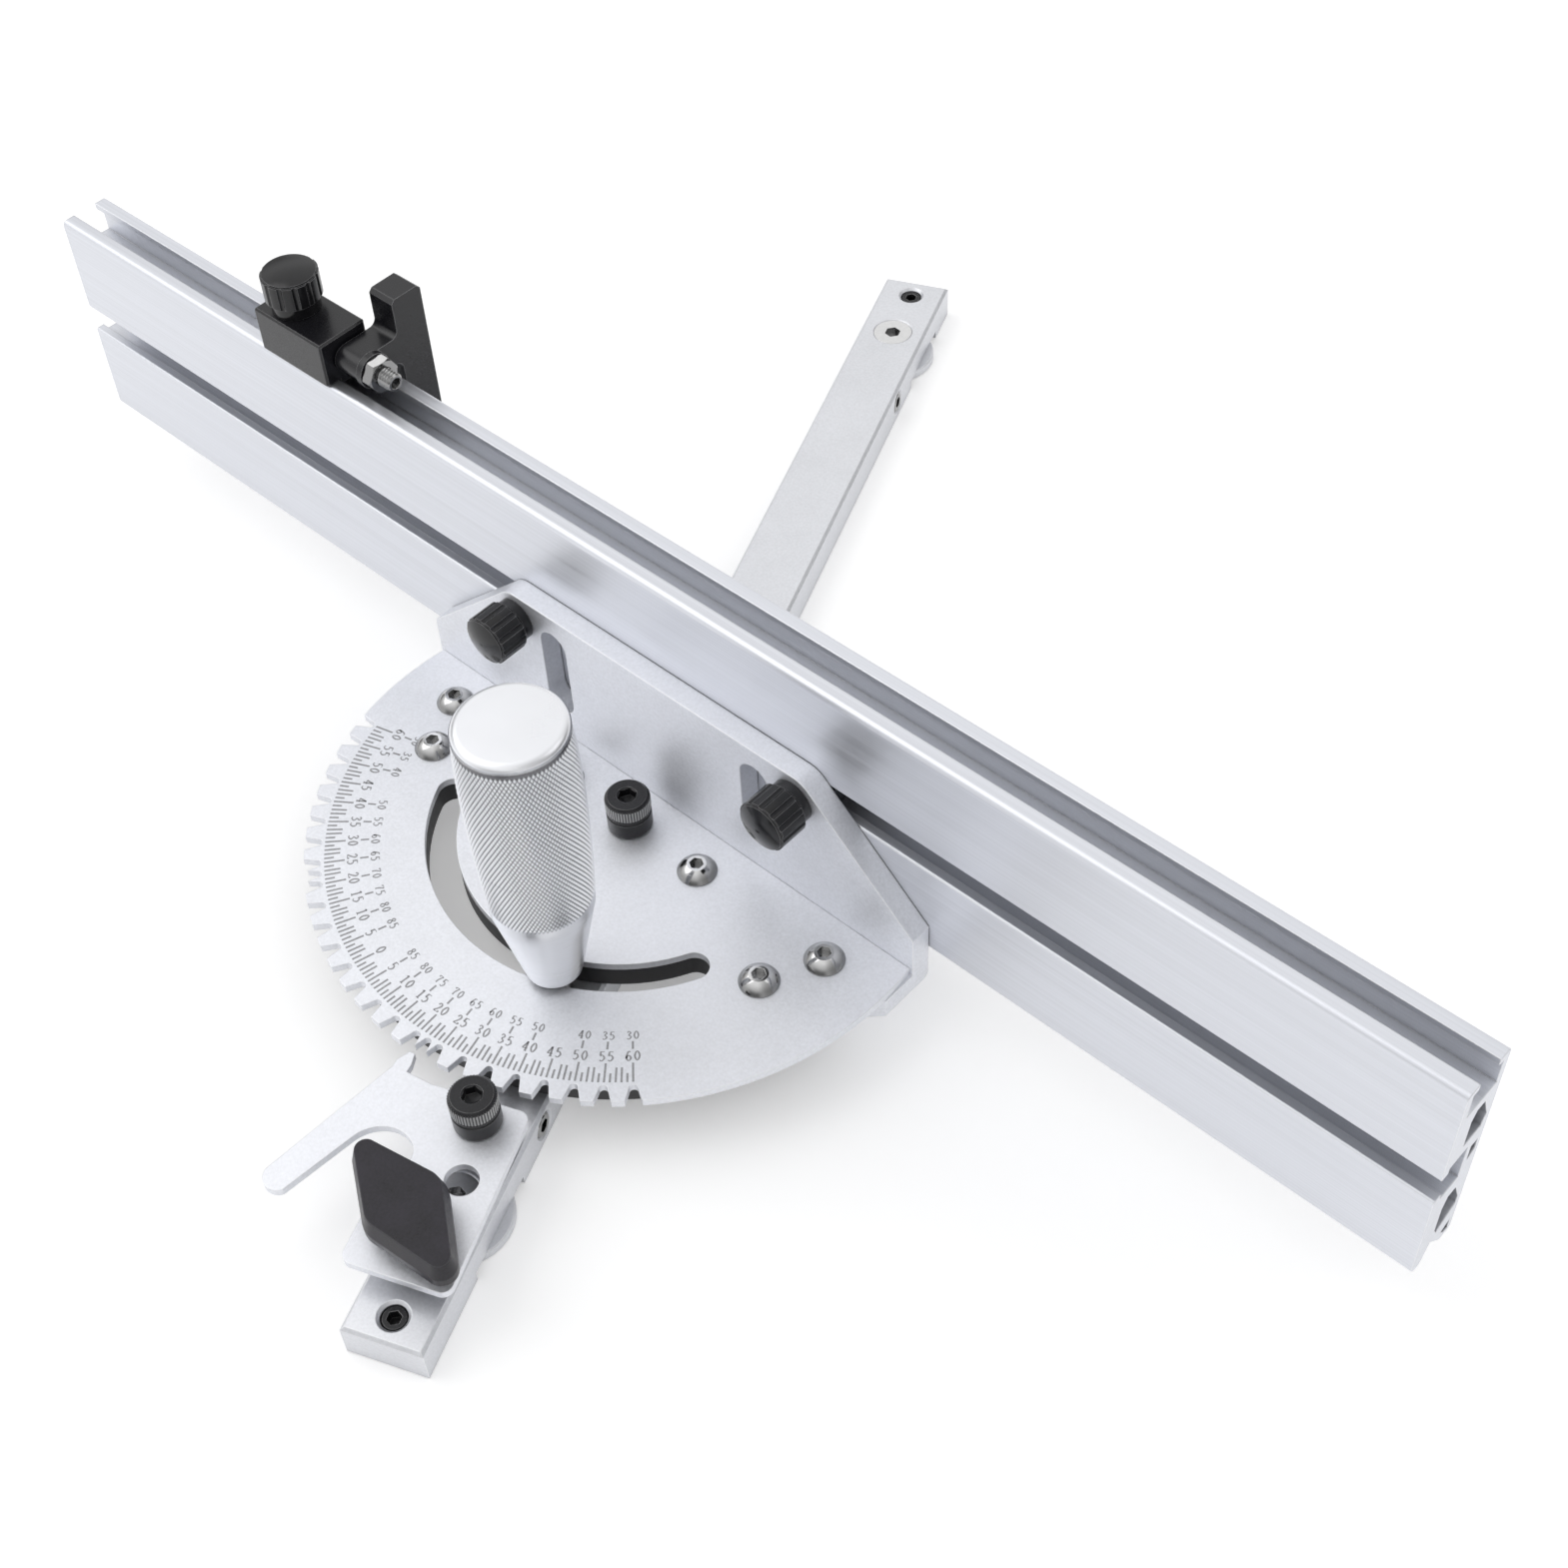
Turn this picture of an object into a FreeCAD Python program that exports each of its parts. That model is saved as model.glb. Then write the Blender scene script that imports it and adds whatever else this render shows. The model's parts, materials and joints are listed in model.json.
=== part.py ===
import FreeCAD, Part
import math
import os
import Sketcher

# Miter gauge: a bar for the table's slot, a head that turns on it, and a fence on the head.
# X runs along the fence, Y away from the operator, Z up. The origin is where the head's
# pivot axis meets the bar's underside. The bar is turned to the fence as it was set last.

DIMENSIONS = {
    # Clearances: between flat faces, round running parts, round seated parts, and T heads.
    "faceGap": 0.1,
    "turnGap": 0.05,
    "seatGap": 0.05,
    "headGap": 0.3,
    # Guide bar.
    "barWidth": 19.0,
    "barHeight": 9.5,
    "barLength": 365.0,
    "barPastClamp": 21.5,
    "barTurn": 22.5,
    "barChamfer": 0.8,
    "discDiameter": 24.0,
    "discThick": 2.5,
    "discPocketLength": 24.5,
    "discChamfer": 0.3,
    "nearDiscFromIndex": 14.2,
    "farDiscFromEnd": 24.5,
    "discHeadDiameter": 11.6,
    "discHeadDrop": 0.2,
    "discTipDrop": 0.4,
    "discScrewDiameter": 6.0,
    "grubDiameter": 6.0,
    "grubLength": 8.0,
    "grubSocket": 3.0,
    "grubChamfer": 0.7,
    "nearGrubFromEnd": 6.2,
    "farGrubFromEnd": 6.5,
    "nearSideFromIndex": 10.2,
    "farSideFromEnd": 49.3,
    "seatDepth": 6.0,
    # Screws that the head and the index plate turn on.
    "shoulderDiameter": 8.0,
    "shoulderThread": 6.0,
    "collarDiameter": 10.8,
    "collarHeight": 5.0,
    "knurlDiameter": 10.9,
    "knurlHeight": 5.0,
    "knurlChamfer": 0.6,
    "knurlSocket": 4.0,
    "socketDepth": 2.6,
    # Head: sector plate on the bracket's foot and on the pad.
    "footThick": 5.5,
    "plateThick": 2.0,
    "rimRadius": 77.6,
    "notchDepth": 4.2,
    "notchMouth": 3.9,
    "notchRoot": 2.0,
    "notchPast": 1.0,
    "notchStep": 5.0,
    "notchSpan": 60.0,
    "halfNotch": 22.5,
    "scaleTurn": 15.0,
    "slotRadius": 45.1,
    "slotWidth": 7.5,
    "slotReach": 62.7,
    "padInset": 5.4,
    "plateScrewDiameter": 5.0,
    "plateHeadDiameter": 9.5,
    "plateHeadHeight": 2.75,
    "plateHeadRim": 0.3,
    "plateHeadCrown": 2.3,
    "plateSocket": 3.0,
    "plateSocketDepth": 1.9,
    "outerScrewOffset": 61.1,
    "innerScrewOffset": 22.0,
    "screwRow": 0.3,
    "padScrewOffset": 54.0,
    "padScrewRow": 14.1,
    # Bracket.
    "footPastRim": 0.2,
    "footSide": 1.0,
    "footFrontStep": 8.0,
    "footFront": 7.0,
    "flangeFront": 10.2,
    "flangeThick": 5.5,
    "flangeShoulder": 10.3,
    "flangeTop": 39.8,
    "flangeTopStep": 31.3,
    "flangeCorner": 6.0,
    "heelRadius": 2.0,
    "flangeSlotOffset": 32.0,
    "flangeSlotWidth": 8.5,
    "flangeSlotLow": 8.3,
    "flangeSlotHigh": 34.5,
    "clampOffset": 43.9,
    "clampHeight": 32.6,
    # Fence.
    "fenceLength": 420.0,
    "fenceShift": 11.1,
    "fenceDepth": 14.4,
    "fenceHeight": 62.4,
    "fenceLift": 1.8,
    "fenceEdge": 0.6,
    "faceSlotWidth": 7.4,
    "faceLip": 2.4,
    "faceCavityHeight": 11.0,
    "faceCavityDepth": 9.0,
    "topSlotCentre": 7.3,
    "topSlotWidth": 6.9,
    "topLip": 1.7,
    "topCavityWidth": 10.4,
    "topSlotDepth": 9.0,
    "skirtThick": 4.1,
    "skirtRound": 1.9,
    "fenceRound": 1.5,
    "slotEdge": 0.4,
    "grooveHeight": 5.4,
    "chamberWall": 1.4,
    "chamberFront": 5.8,
    "chamberNarrow": 7.0,
    "chamberWaist": 9.8,
    "upperChamberGap": 3.2,
    "upperChamberBevel": 1.0,
    "upperChamberSide": 3.0,
    "upperChamberHeight": 10.9,
    "upperChamberFront": 8.5,
    "smallChamberLow": 1.4,
    "smallChamberHigh": 3.4,
    "smallChamberStep": 0.9,
    "lowerChamberGap": 4.7,
    "lowerChamberHeight": 13.4,
    "lowerChamberFront": 3.2,
    "lowerChamberFoot": 11.4,
    "lowerChamberSide": 7.3,
    "lowerChamberHeel": 9.6,
    "footChamberLow": 3.2,
    "footChamberHigh": 5.2,
    "footChamberIn": 11.6,
    # Fence bolts and their knobs.
    "boltDiameter": 6.0,
    "boltHeadLength": 10.0,
    "boltHeadThick": 4.0,
    "boltEngagement": 7.2,
    "clampKnobDiameter": 12.8,
    "clampKnobLength": 11.6,
    "clampKnobCollar": 2.2,
    "stopKnobDiameter": 14.4,
    "stopKnobLength": 11.4,
    "stopKnobCollar": 2.8,
    "knobNeck": 0.85,
    "knobFlare": 0.8,
    "knobStep": 0.5,
    "knobBand": 0.5,
    "knobDome": 1.0,
    "fluteCount": 12,
    "fluteRadius": 0.8,
    "fluteDepth": 0.45,
    # Lock handle on its stud.
    "washerDiameter": 10.4,
    "washerThick": 1.5,
    "washerEdgeShare": 0.1,
    "handleTop": 82.0,
    "handleFootDiameter": 13.0,
    "handleConeTop": 25.5,
    "handleConeDiameter": 23.2,
    "gripLow": 28.5,
    "gripLowDiameter": 23.8,
    "gripBelly": 63.0,
    "gripBellyDiameter": 26.0,
    "gripHigh": 79.0,
    "gripHighDiameter": 24.8,
    "handleRimDiameter": 24.6,
    "handleRimStep": 0.4,
    "handleRimRound": 2.0,
    "handleBore": 26.0,
    # Index plate with finger and lever, and its clamp. Its corners are given from its screw.
    "indexFromRim": 9.2,
    "indexSwingIn": 9.0,
    "indexSwingOut": 6.0,
    "fingerDepth": 2.8,
    "fingerGap": 0.15,
    "fingerRoot": 2.0,
    "fingerLean": 3.0,
    "indexEdge": 5.2,
    "indexRightTop": 10.1,
    "indexRightTail": 11.6,
    "indexShoulder": 13.5,
    "indexWaistAlong": 28.4,
    "indexTail": 39.6,
    "indexCorner": 2.5,
    "leverOuterAcross": 38.0,
    "leverOuterAlong": 25.1,
    "leverInnerAcross": 32.2,
    "leverInnerAlong": 28.6,
    "leverEndRadius": 3.6,
    "leverNeckAcross": 24.0,
    "leverNeckAlong": 12.3,
    "leverNeckRadius": 8.8,
    "hookAcross": 18.0,
    "hookAlong": 7.6,
    "hookRadius": 7.8,
    "hookEndAcross": 11.4,
    "hookEndAlong": 9.2,
    "hookEndRadius": 4.7,
    "hookFootAcross": 9.7,
    "hookFootAlong": 12.6,
    "indexHoleDiameter": 7.6,
    "indexHoleAcross": 2.8,
    "indexHoleAlong": 14.4,
    "clampFromIndex": 28.7,
    "clampAcross": -2.0,
    "clampSlotGap": 0.3,
    "bushDiameter": 12.0,
    "indexKnobHubDiameter": 12.0,
    "indexKnobHubHeight": 4.6,
    "indexKnobThick": 5.9,
    "knobBackAcross": 20.7,
    "knobBackAlong": 14.1,
    "knobRightAcross": 5.1,
    "knobRightAlong": 9.4,
    "knobFrontAcross": 19.3,
    "knobFrontAlong": 14.0,
    "knobLeftAcross": 6.4,
    "knobLeftAlong": 6.7,
    "knobPointRound": 3.4,
    "knobSideRound": 6.5,
    "knobBevel": 1.0,
    "knobBevelHeight": 3.8,
    "clampStudLength": 7.0,
    # Stop on the fence's top slot.
    "stopBlockCentre": 123.5,
    "stopBlockLength": 25.0,
    "stopBlockHeight": 12.0,
    "stopBlockEdge": 0.5,
    "stopKeyDepth": 1.4,
    "stopKnobOffset": 4.5,
    "stopAxisHeight": 5.8,
    "stopStudDiameter": 5.0,
    "stopStudSeat": 8.0,
    "stopStudReach": 18.2,
    "stopSocket": 2.5,
    "armGap": 0.7,
    "armThick": 8.2,
    "armBossDiameter": 9.2,
    "armBossLength": 1.8,
    "armHalfHeight": 3.6,
    "armFront": 4.2,
    "armFenceGap": 2.5,
    "armBladeThick": 9.1,
    "armRise": 13.9,
    "armDrop": 60.0,
    "armCorner": 2.0,
    "nutFlats": 8.0,
    "nutLength": 3.2,
    "nutChamfer": 0.7,
}

doc = FreeCAD.newDocument("MiterGauge")
nodes = []


class Size:
    """A number together with the formula that works it out from the sheet's cells."""

    def __init__(self, number, formula):
        self.number = float(number)
        self.formula = formula

    def __add__(self, other):
        other = asSize(other)
        return Size(self.number + other.number, f"({self.formula} + {other.formula})")

    def __sub__(self, other):
        other = asSize(other)
        return Size(self.number - other.number, f"({self.formula} - {other.formula})")

    def __mul__(self, other):
        other = asSize(other)
        return Size(self.number * other.number, f"({self.formula} * {other.formula})")

    def __truediv__(self, other):
        other = asSize(other)
        return Size(self.number / other.number, f"({self.formula} / {other.formula})")

    def __rsub__(self, other):
        return asSize(other) - self

    def __neg__(self):
        return asSize(0) - self

    __radd__ = __add__
    __rmul__ = __mul__


def asSize(value):
    """Give a plain number the same form as a named size."""
    return value if isinstance(value, Size) else Size(value, f"({float(value)})")


def cosine(degrees):
    degrees = asSize(degrees)
    return Size(math.cos(math.radians(degrees.number)), f"cos({degrees.formula} * 1 deg)")


def sine(degrees):
    degrees = asSize(degrees)
    return Size(math.sin(math.radians(degrees.number)), f"sin({degrees.formula} * 1 deg)")


def root(value):
    return Size(math.sqrt(value.number), f"sqrt({value.formula})")


class Sizes:
    """The driving dimensions: one sheet cell each, read as size.name."""

    def __init__(self, table):
        sheet = doc.addObject("Spreadsheet::Sheet", "Sizes")
        for row, (name, number) in enumerate(table.items(), start=1):
            sheet.set(f"A{row}", str(number))
            sheet.setAlias(f"A{row}", name)
            setattr(self, name, Size(number, f"Sizes.{name}"))


size = Sizes(DIMENSIONS)
doc.recompute()

# Heights of the stack, counted from the bar's underside.
barTop = size.barHeight
footBottom = barTop + size.faceGap
plateBottom = footBottom + size.footThick
plateTop = plateBottom + size.plateThick
collarBottom = plateTop + size.faceGap

# Places that several pieces share.
studRadius = size.boltDiameter / 2 - size.seatGap
shoulderHole = size.shoulderDiameter / 2 + size.turnGap
flangeBack = size.flangeFront + size.flangeThick
fenceFront = flangeBack + size.faceGap
fenceBottom = plateTop + size.fenceLift
fenceTop = fenceBottom + size.fenceHeight
clampLevel = plateTop + size.clampHeight
footHalf = size.rimRadius + size.footPastRim
topSlotLine = fenceFront + size.topSlotCentre
stopLevel = fenceTop + size.faceGap
stopAxis = stopLevel + size.stopAxisHeight
frontAngle = -90
scaleCentre = frontAngle - size.scaleTurn

# Radii about the pivot and reaches along the bar, near end and far end.
notchRootRadius = size.rimRadius - size.notchDepth
fingerTipRadius = size.rimRadius - size.fingerDepth
padRadius = size.rimRadius - size.padInset
indexReach = size.rimRadius + size.indexFromRim
clampReach = indexReach + size.clampFromIndex
nearDiscReach = indexReach + size.nearDiscFromIndex
nearSideReach = indexReach - size.nearSideFromIndex
barNearReach = clampReach + size.barPastClamp
barFarReach = size.barLength - barNearReach
nearGrubReach = barNearReach - size.nearGrubFromEnd
farGrubReach = barFarReach - size.farGrubFromEnd
farDiscReach = barFarReach - size.farDiscFromEnd
farSideReach = barFarReach - size.farSideFromEnd


def drive(item, name, value):
    """Bind one property of a document object to the sheet."""
    item.setExpression(name, asSize(value).formula)


def newBody(label):
    body = doc.addObject("PartDesign::Body", label)
    body.Label = label
    return body


def originOf(body, role):
    return next(part for part in body.Origin.OriginFeatures if part.Role == role)


def sketchOn(body, role, lift=0):
    """An empty sketch on one of the body's own origin planes, lifted along its normal."""
    sketch = body.newObject("Sketcher::SketchObject", "Sketch")
    sketch.AttachmentSupport = [(originOf(body, role), "")]
    sketch.MapMode = "FlatFace"
    drive(sketch, "AttachmentOffset.Base.z", lift)
    return sketch


def hold(sketch, kind, item, value, spot=None):
    """Add one dimension to a sketch and bind it to the sheet."""
    value = asSize(value)
    parts = (kind, item, value.number) if spot is None else (kind, item, spot, value.number)
    place = sketch.addConstraint(Sketcher.Constraint(*parts))
    sketch.setExpression(f"Constraints[{place}]", value.formula)


def vector(x, y):
    return FreeCAD.Vector(asSize(x).number, asSize(y).number, 0)


def arcBetween(start, end, radius, side):
    """A short arc from start to end whose centre lies to the left (1) or right (-1) of the chord."""
    chord = end - start
    rise = math.sqrt(max(radius**2 - (chord.Length / 2) ** 2, 0))
    sideways = FreeCAD.Vector(-chord.y, chord.x, 0).normalize() * (side * rise)
    centre = (start + end) * 0.5 + sideways
    first, last = (start, end) if side > 0 else (end, start)
    angles = [math.atan2(point.y - centre.y, point.x - centre.x) for point in (first, last)]
    circle = Part.Circle(centre, FreeCAD.Vector(0, 0, 1), radius)
    return Part.ArcOfCircle(circle, angles[0], angles[1])


def trace(sketch, points):
    """Draw a closed outline through points (x, y). A point (x, y, radius, side) bows the
    stretch that follows it into an arc. Every corner and radius is bound to the sheet."""
    ends = []
    for place, point in enumerate(points):
        following = points[(place + 1) % len(points)]
        start, end = vector(*point[:2]), vector(*following[:2])
        if len(point) == 2:
            item = sketch.addGeometry(Part.LineSegment(start, end), False)
            ends.append((item, 1, 2))
            continue
        radius, side = asSize(point[2]), point[3]
        item = sketch.addGeometry(arcBetween(start, end, radius.number, side), False)
        ends.append((item, 1, 2) if side > 0 else (item, 2, 1))
    for place, (item, start, end) in enumerate(ends):
        after, afterStart, _ = ends[(place + 1) % len(ends)]
        sketch.addConstraint(Sketcher.Constraint("Coincident", item, end, after, afterStart))
    for point, (item, start, end) in zip(points, ends):
        hold(sketch, "DistanceX", item, point[0], start)
        hold(sketch, "DistanceY", item, point[1], start)
        if len(point) == 4:
            hold(sketch, "Radius", item, point[2])
    return sketch


def ring(sketch, x, y, radius):
    """Draw a circle with its centre and radius bound to the sheet."""
    circle = Part.Circle(vector(x, y), FreeCAD.Vector(0, 0, 1), asSize(radius).number)
    item = sketch.addGeometry(circle, False)
    hold(sketch, "Radius", item, radius)
    hold(sketch, "DistanceX", item, x, 3)
    hold(sketch, "DistanceY", item, y, 3)
    return sketch


def rectangle(x0, y0, x1, y1):
    return [(x0, y0), (x1, y0), (x1, y1), (x0, y1)]


def hexagon(flats):
    """Corners of a hexagon of that size across its flats, about the sketch's origin."""
    reach = flats / math.sqrt(3)
    return [(reach * cosine(60 * k + 30), reach * sine(60 * k + 30)) for k in range(6)]


def straightSlot(x, low, high, half):
    """Outline of an upright slot with round ends."""
    return [
        (x + half, low + half),
        (x + half, high - half, half, 1),
        (x, high, half, 1),
        (x - half, high - half),
        (x - half, low + half, half, 1),
        (x, low, half, 1),
    ]


def curvedSlot(centre, start, swing, half):
    """Outline of a slot along an arc about centre, from the point start (seen from the
    centre) clockwise through swing degrees, with round ends."""
    radius = root(start[0] * start[0] + start[1] * start[1])
    turned = (
        start[0] * cosine(swing) + start[1] * sine(swing),
        start[1] * cosine(swing) - start[0] * sine(swing),
    )

    def at(spot, outwards, onwards):
        ux, uy = spot[0] / radius, spot[1] / radius
        x = centre[0] + ux * (radius + outwards) + uy * onwards
        y = centre[1] + uy * (radius + outwards) - ux * onwards
        return x, y

    return [
        (*at(start, half, 0), radius + half, -1),
        (*at(turned, half, 0), half, -1),
        (*at(turned, 0, half), half, -1),
        (*at(turned, -half, 0), radius - half, 1),
        (*at(start, -half, 0), half, -1),
        (*at(start, 0, -half), half, -1),
    ]


def pad(body, sketch, length):
    feature = body.newObject("PartDesign::Pad", "Pad")
    feature.Profile = sketch
    drive(feature, "Length", length)
    return feature


def pocket(body, sketch, depth=None, upwards=False):
    """Cut a sketch into the body: by a depth, or right through where none is given."""
    feature = body.newObject("PartDesign::Pocket", "Pocket")
    feature.Profile = sketch
    feature.Reversed = upwards
    if depth is None:
        feature.Type = "ThroughAll"
    else:
        drive(feature, "Length", depth)
    return feature


def turned(body, points):
    """Revolve an outline (radius, height) about the body's Z axis."""
    feature = body.newObject("PartDesign::Revolution", "Revolution")
    feature.Profile = trace(sketchOn(body, "XZ_Plane"), points)
    feature.ReferenceAxis = (originOf(body, "Z_Axis"), [""])
    feature.Angle = 360
    return feature


def around(body, feature, count, angle):
    """Repeat a feature about the body's Z axis."""
    pattern = body.newObject("PartDesign::PolarPattern", "PolarPattern")
    pattern.Originals = [feature]
    pattern.Axis = (originOf(body, "Z_Axis"), [""])
    pattern.Occurrences = count
    if isinstance(angle, Size):
        drive(pattern, "Angle", angle)
    else:
        pattern.Angle = angle
    body.Tip = pattern
    return pattern


def dress(body, kind, base, measure, value, wanted):
    """Fillet or chamfer those edges of the base feature that wanted() picks."""
    doc.recompute()
    feature = body.newObject(f"PartDesign::{kind}", kind)
    edges = [f"Edge{k + 1}" for k, edge in enumerate(base.Shape.Edges) if wanted(edge)]
    feature.Base = (base, edges)
    drive(feature, measure, value)
    return feature


def fillet(body, base, radius, wanted):
    return dress(body, "Fillet", base, "Radius", radius, wanted)


def chamfer(body, base, width, wanted):
    return dress(body, "Chamfer", base, "Size", width, wanted)


def isStraight(edge, axis):
    """True for a straight edge along the given axis (0, 1 or 2)."""
    if edge.Curve.TypeId != "Part::GeomLine":
        return False
    run = edge.Vertexes[1].Point - edge.Vertexes[0].Point
    return abs(run[axis]) > 0.999 * run.Length


def middle(edge):
    return edge.valueAt((edge.FirstParameter + edge.LastParameter) / 2)


def near(number, value):
    return abs(number - asSize(value).number) < 0.01


def uprightAt(corners):
    """Picks the upright straight edges that stand at the given corners (x, y)."""

    def wanted(edge):
        spot = middle(edge)
        return isStraight(edge, 2) and any(near(spot.x, x) and near(spot.y, y) for x, y in corners)

    return wanted


def place(item, x, y, z, axis=(0, 0, 1), angle=0):
    """Put a piece in the gauge's frame: first turned about its own origin, then moved."""
    turn = FreeCAD.Rotation(FreeCAD.Vector(*axis), asSize(angle).number)
    item.Placement = FreeCAD.Placement(FreeCAD.Vector(0, 0, 0), turn)
    if isinstance(angle, Size):
        drive(item, "Placement.Rotation.Angle", angle)
    for name, value in zip("xyz", (x, y, z)):
        drive(item, f"Placement.Base.{name}", value)
    return item


def onBar(item, across, along, up):
    """Put a piece at a place of the bar: across it to the right, along it to the far end."""
    x = across * cosine(size.barTurn) - along * sine(size.barTurn)
    y = across * sine(size.barTurn) + along * cosine(size.barTurn)
    return place(item, x, y, up, angle=size.barTurn)


def keep(item):
    """Note a finished sub-part; its label names its file."""
    nodes.append(item)
    return item


def group(label, items):
    """Identical fasteners in one sub-part, as separate solids."""
    compound = doc.addObject("Part::Compound", label)
    compound.Label = label
    compound.Links = items
    return keep(compound)


def guideBar():
    body = newBody("guide_bar")
    half = size.barWidth / 2
    block = trace(sketchOn(body, "XY_Plane"), rectangle(-half, -barNearReach, half, barFarReach))
    block = pad(body, block, size.barHeight)
    chamfer(body, block, size.barChamfer, lambda edge: near(middle(edge).z, size.barHeight))
    steps = sketchOn(body, "XY_Plane")
    for reach in (-nearDiscReach, farDiscReach):
        halfStep = size.discPocketLength / 2
        trace(steps, rectangle(-size.barWidth, reach - halfStep, size.barWidth, reach + halfStep))
    pocket(body, steps, size.discThick, upwards=True)
    grubHoles = sketchOn(body, "XY_Plane", size.barHeight)
    for reach in (-nearGrubReach, farGrubReach):
        ring(grubHoles, 0, reach, size.grubDiameter / 2)
    pocket(body, grubHoles)
    seats = sketchOn(body, "XY_Plane", size.barHeight)
    seatRadius = size.shoulderThread / 2
    for across, along in ((0, 0), (0, -indexReach), (0, -size.slotRadius),
                          (size.clampAcross, -clampReach)):
        ring(seats, across, along, seatRadius)
    pocket(body, seats, size.seatDepth)
    sideHoles = sketchOn(body, "YZ_Plane", half)
    for reach in (-nearSideReach, farSideReach):
        ring(sideHoles, reach, size.barHeight / 2, size.grubDiameter / 2)
    pocket(body, sideHoles, size.grubLength)
    for reach in (-nearDiscReach, farDiscReach):
        drilled = countersink(body, reach)

    def isMouth(edge):
        """True for the mouths of the grub screws' holes, on the bar's top and on its right side."""
        if edge.Curve.TypeId != "Part::GeomCircle" or not near(edge.Curve.Radius, size.grubDiameter / 2):
            return False
        spot = edge.Curve.Center
        atEnd = near(spot.y, -nearGrubReach) or near(spot.y, farGrubReach)
        return near(spot.x, half) or (atEnd and near(spot.z, size.barHeight))

    chamfer(body, drilled, size.grubChamfer, isMouth)
    onBar(body, asSize(0), asSize(0), 0)
    return keep(body)


def countersink(body, reach):
    """A countersunk hole down through the bar for a disc screw."""
    sketch = ring(sketchOn(body, "XY_Plane", size.barHeight), 0, reach, size.discScrewDiameter / 2)
    doc.recompute()
    hole = body.newObject("PartDesign::Hole", "Hole")
    hole.Profile = sketch
    hole.Threaded = False
    hole.DepthType = "ThroughAll"
    drive(hole, "Diameter", size.discScrewDiameter)
    hole.HoleCutType = "Countersink"
    hole.HoleCutCustomValues = True
    drive(hole, "HoleCutDiameter", size.discHeadDiameter)
    hole.HoleCutCountersinkAngle = 90
    return hole


def guideDisc(label, reach):
    body = newBody(label)
    sketch = ring(sketchOn(body, "XY_Plane"), 0, 0, size.discDiameter / 2)
    ring(sketch, 0, 0, size.discScrewDiameter / 2)
    disc = pad(body, sketch, size.discThick)
    chamfer(body, disc, size.discChamfer, lambda edge: near(edge.Curve.Radius, size.discDiameter / 2)
            if edge.Curve.TypeId == "Part::GeomCircle" else False)
    onBar(body, asSize(0), reach, 0)
    return keep(body)


def discScrew(reach):
    """A countersunk screw, its head a little below the bar's top and its tip in the disc. The gap
    under its head is square to the cone."""
    body = newBody("disc_screw")
    shank = size.discScrewDiameter / 2 - size.seatGap
    head = size.discHeadDiameter / 2 - size.discHeadDrop - math.sqrt(2) * size.seatGap
    top = size.barHeight - size.discHeadDrop
    tip = size.discTipDrop
    turned(body, [(0, tip), (shank, tip), (shank, top - (head - shank)), (head, top), (0, top)])
    socket(body, top, size.knurlSocket, size.socketDepth)
    return onBar(body, asSize(0), reach, 0)


def socket(body, top, flats, depth):
    """A hexagon socket sunk into a screw's top."""
    return pocket(body, trace(sketchOn(body, "XY_Plane", top), hexagon(flats)), depth)


def grubScrew():
    """A headless screw with a hexagon socket, standing on the origin."""
    body = newBody("grub_screw")
    radius = size.grubDiameter / 2 - size.seatGap
    length = size.grubLength - size.seatGap
    edge = size.barChamfer / 2
    turned(body, [(0, 0), (radius - edge, 0), (radius, edge), (radius, length - edge),
                  (radius - edge, length), (0, length)])
    socket(body, length, size.grubSocket, size.socketDepth)
    return body


def endGrubScrews():
    level = (size.barHeight - size.grubLength) / 2
    return group("end_grub_screws", [
        onBar(grubScrew(), asSize(0), reach, level)
        for reach in (-nearGrubReach, farGrubReach)
    ])


def sideGrubScrews():
    """Grub screws in the bar's right side; their tips point to the bar's middle."""
    across = size.barWidth / 2 - size.grubLength
    screws = []
    for reach in (-nearSideReach, farSideReach):
        screw = onBar(grubScrew(), across, reach, size.barHeight / 2)
        upright = FreeCAD.Rotation(FreeCAD.Vector(0, 0, 1), size.barTurn.number)
        lying = FreeCAD.Rotation(FreeCAD.Vector(0, 1, 0), 90)
        screw.setExpression("Placement.Rotation.Angle", None)
        screw.Placement = FreeCAD.Placement(screw.Placement.Base, upright * lying)
        screws.append(screw)
    return group("side_grub_screws", screws)


def shoulderScrew(label, reach):
    """Threaded tip in the bar, plain shoulder, and a knurled head with a hexagon socket."""
    body = newBody(label)
    thread = size.shoulderThread / 2 - size.seatGap
    shoulder = size.shoulderDiameter / 2
    head = size.knurlDiameter / 2
    low = barTop - size.seatDepth + size.seatGap
    neck = collarBottom + size.collarHeight + size.seatGap
    top = neck + size.knurlHeight
    turned(body, [(0, low), (thread, low), (thread, barTop), (shoulder, barTop), (shoulder, neck),
                  (head, neck), (head, top - size.knurlChamfer), (head - size.knurlChamfer, top), (0, top)])
    socket(body, top, size.knurlSocket, size.socketDepth)
    onBar(body, asSize(0), reach, 0)
    return keep(body)


def washer(label, inner, outer, low, height, across, along):
    """A plain ring on the bar's line, its edges broken by a share of its height."""
    body = newBody(label)
    edge = height * size.washerEdgeShare
    turned(body, [(inner, low), (outer - edge, low), (outer, low + edge), (outer, low + height - edge),
                  (outer - edge, low + height), (inner, low + height)])
    return onBar(body, across, along, 0)


def collar(label, reach):
    inner = size.shoulderDiameter / 2 + size.seatGap
    return keep(washer(label, inner, size.collarDiameter / 2, collarBottom, size.collarHeight,
                       asSize(0), reach))


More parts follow.
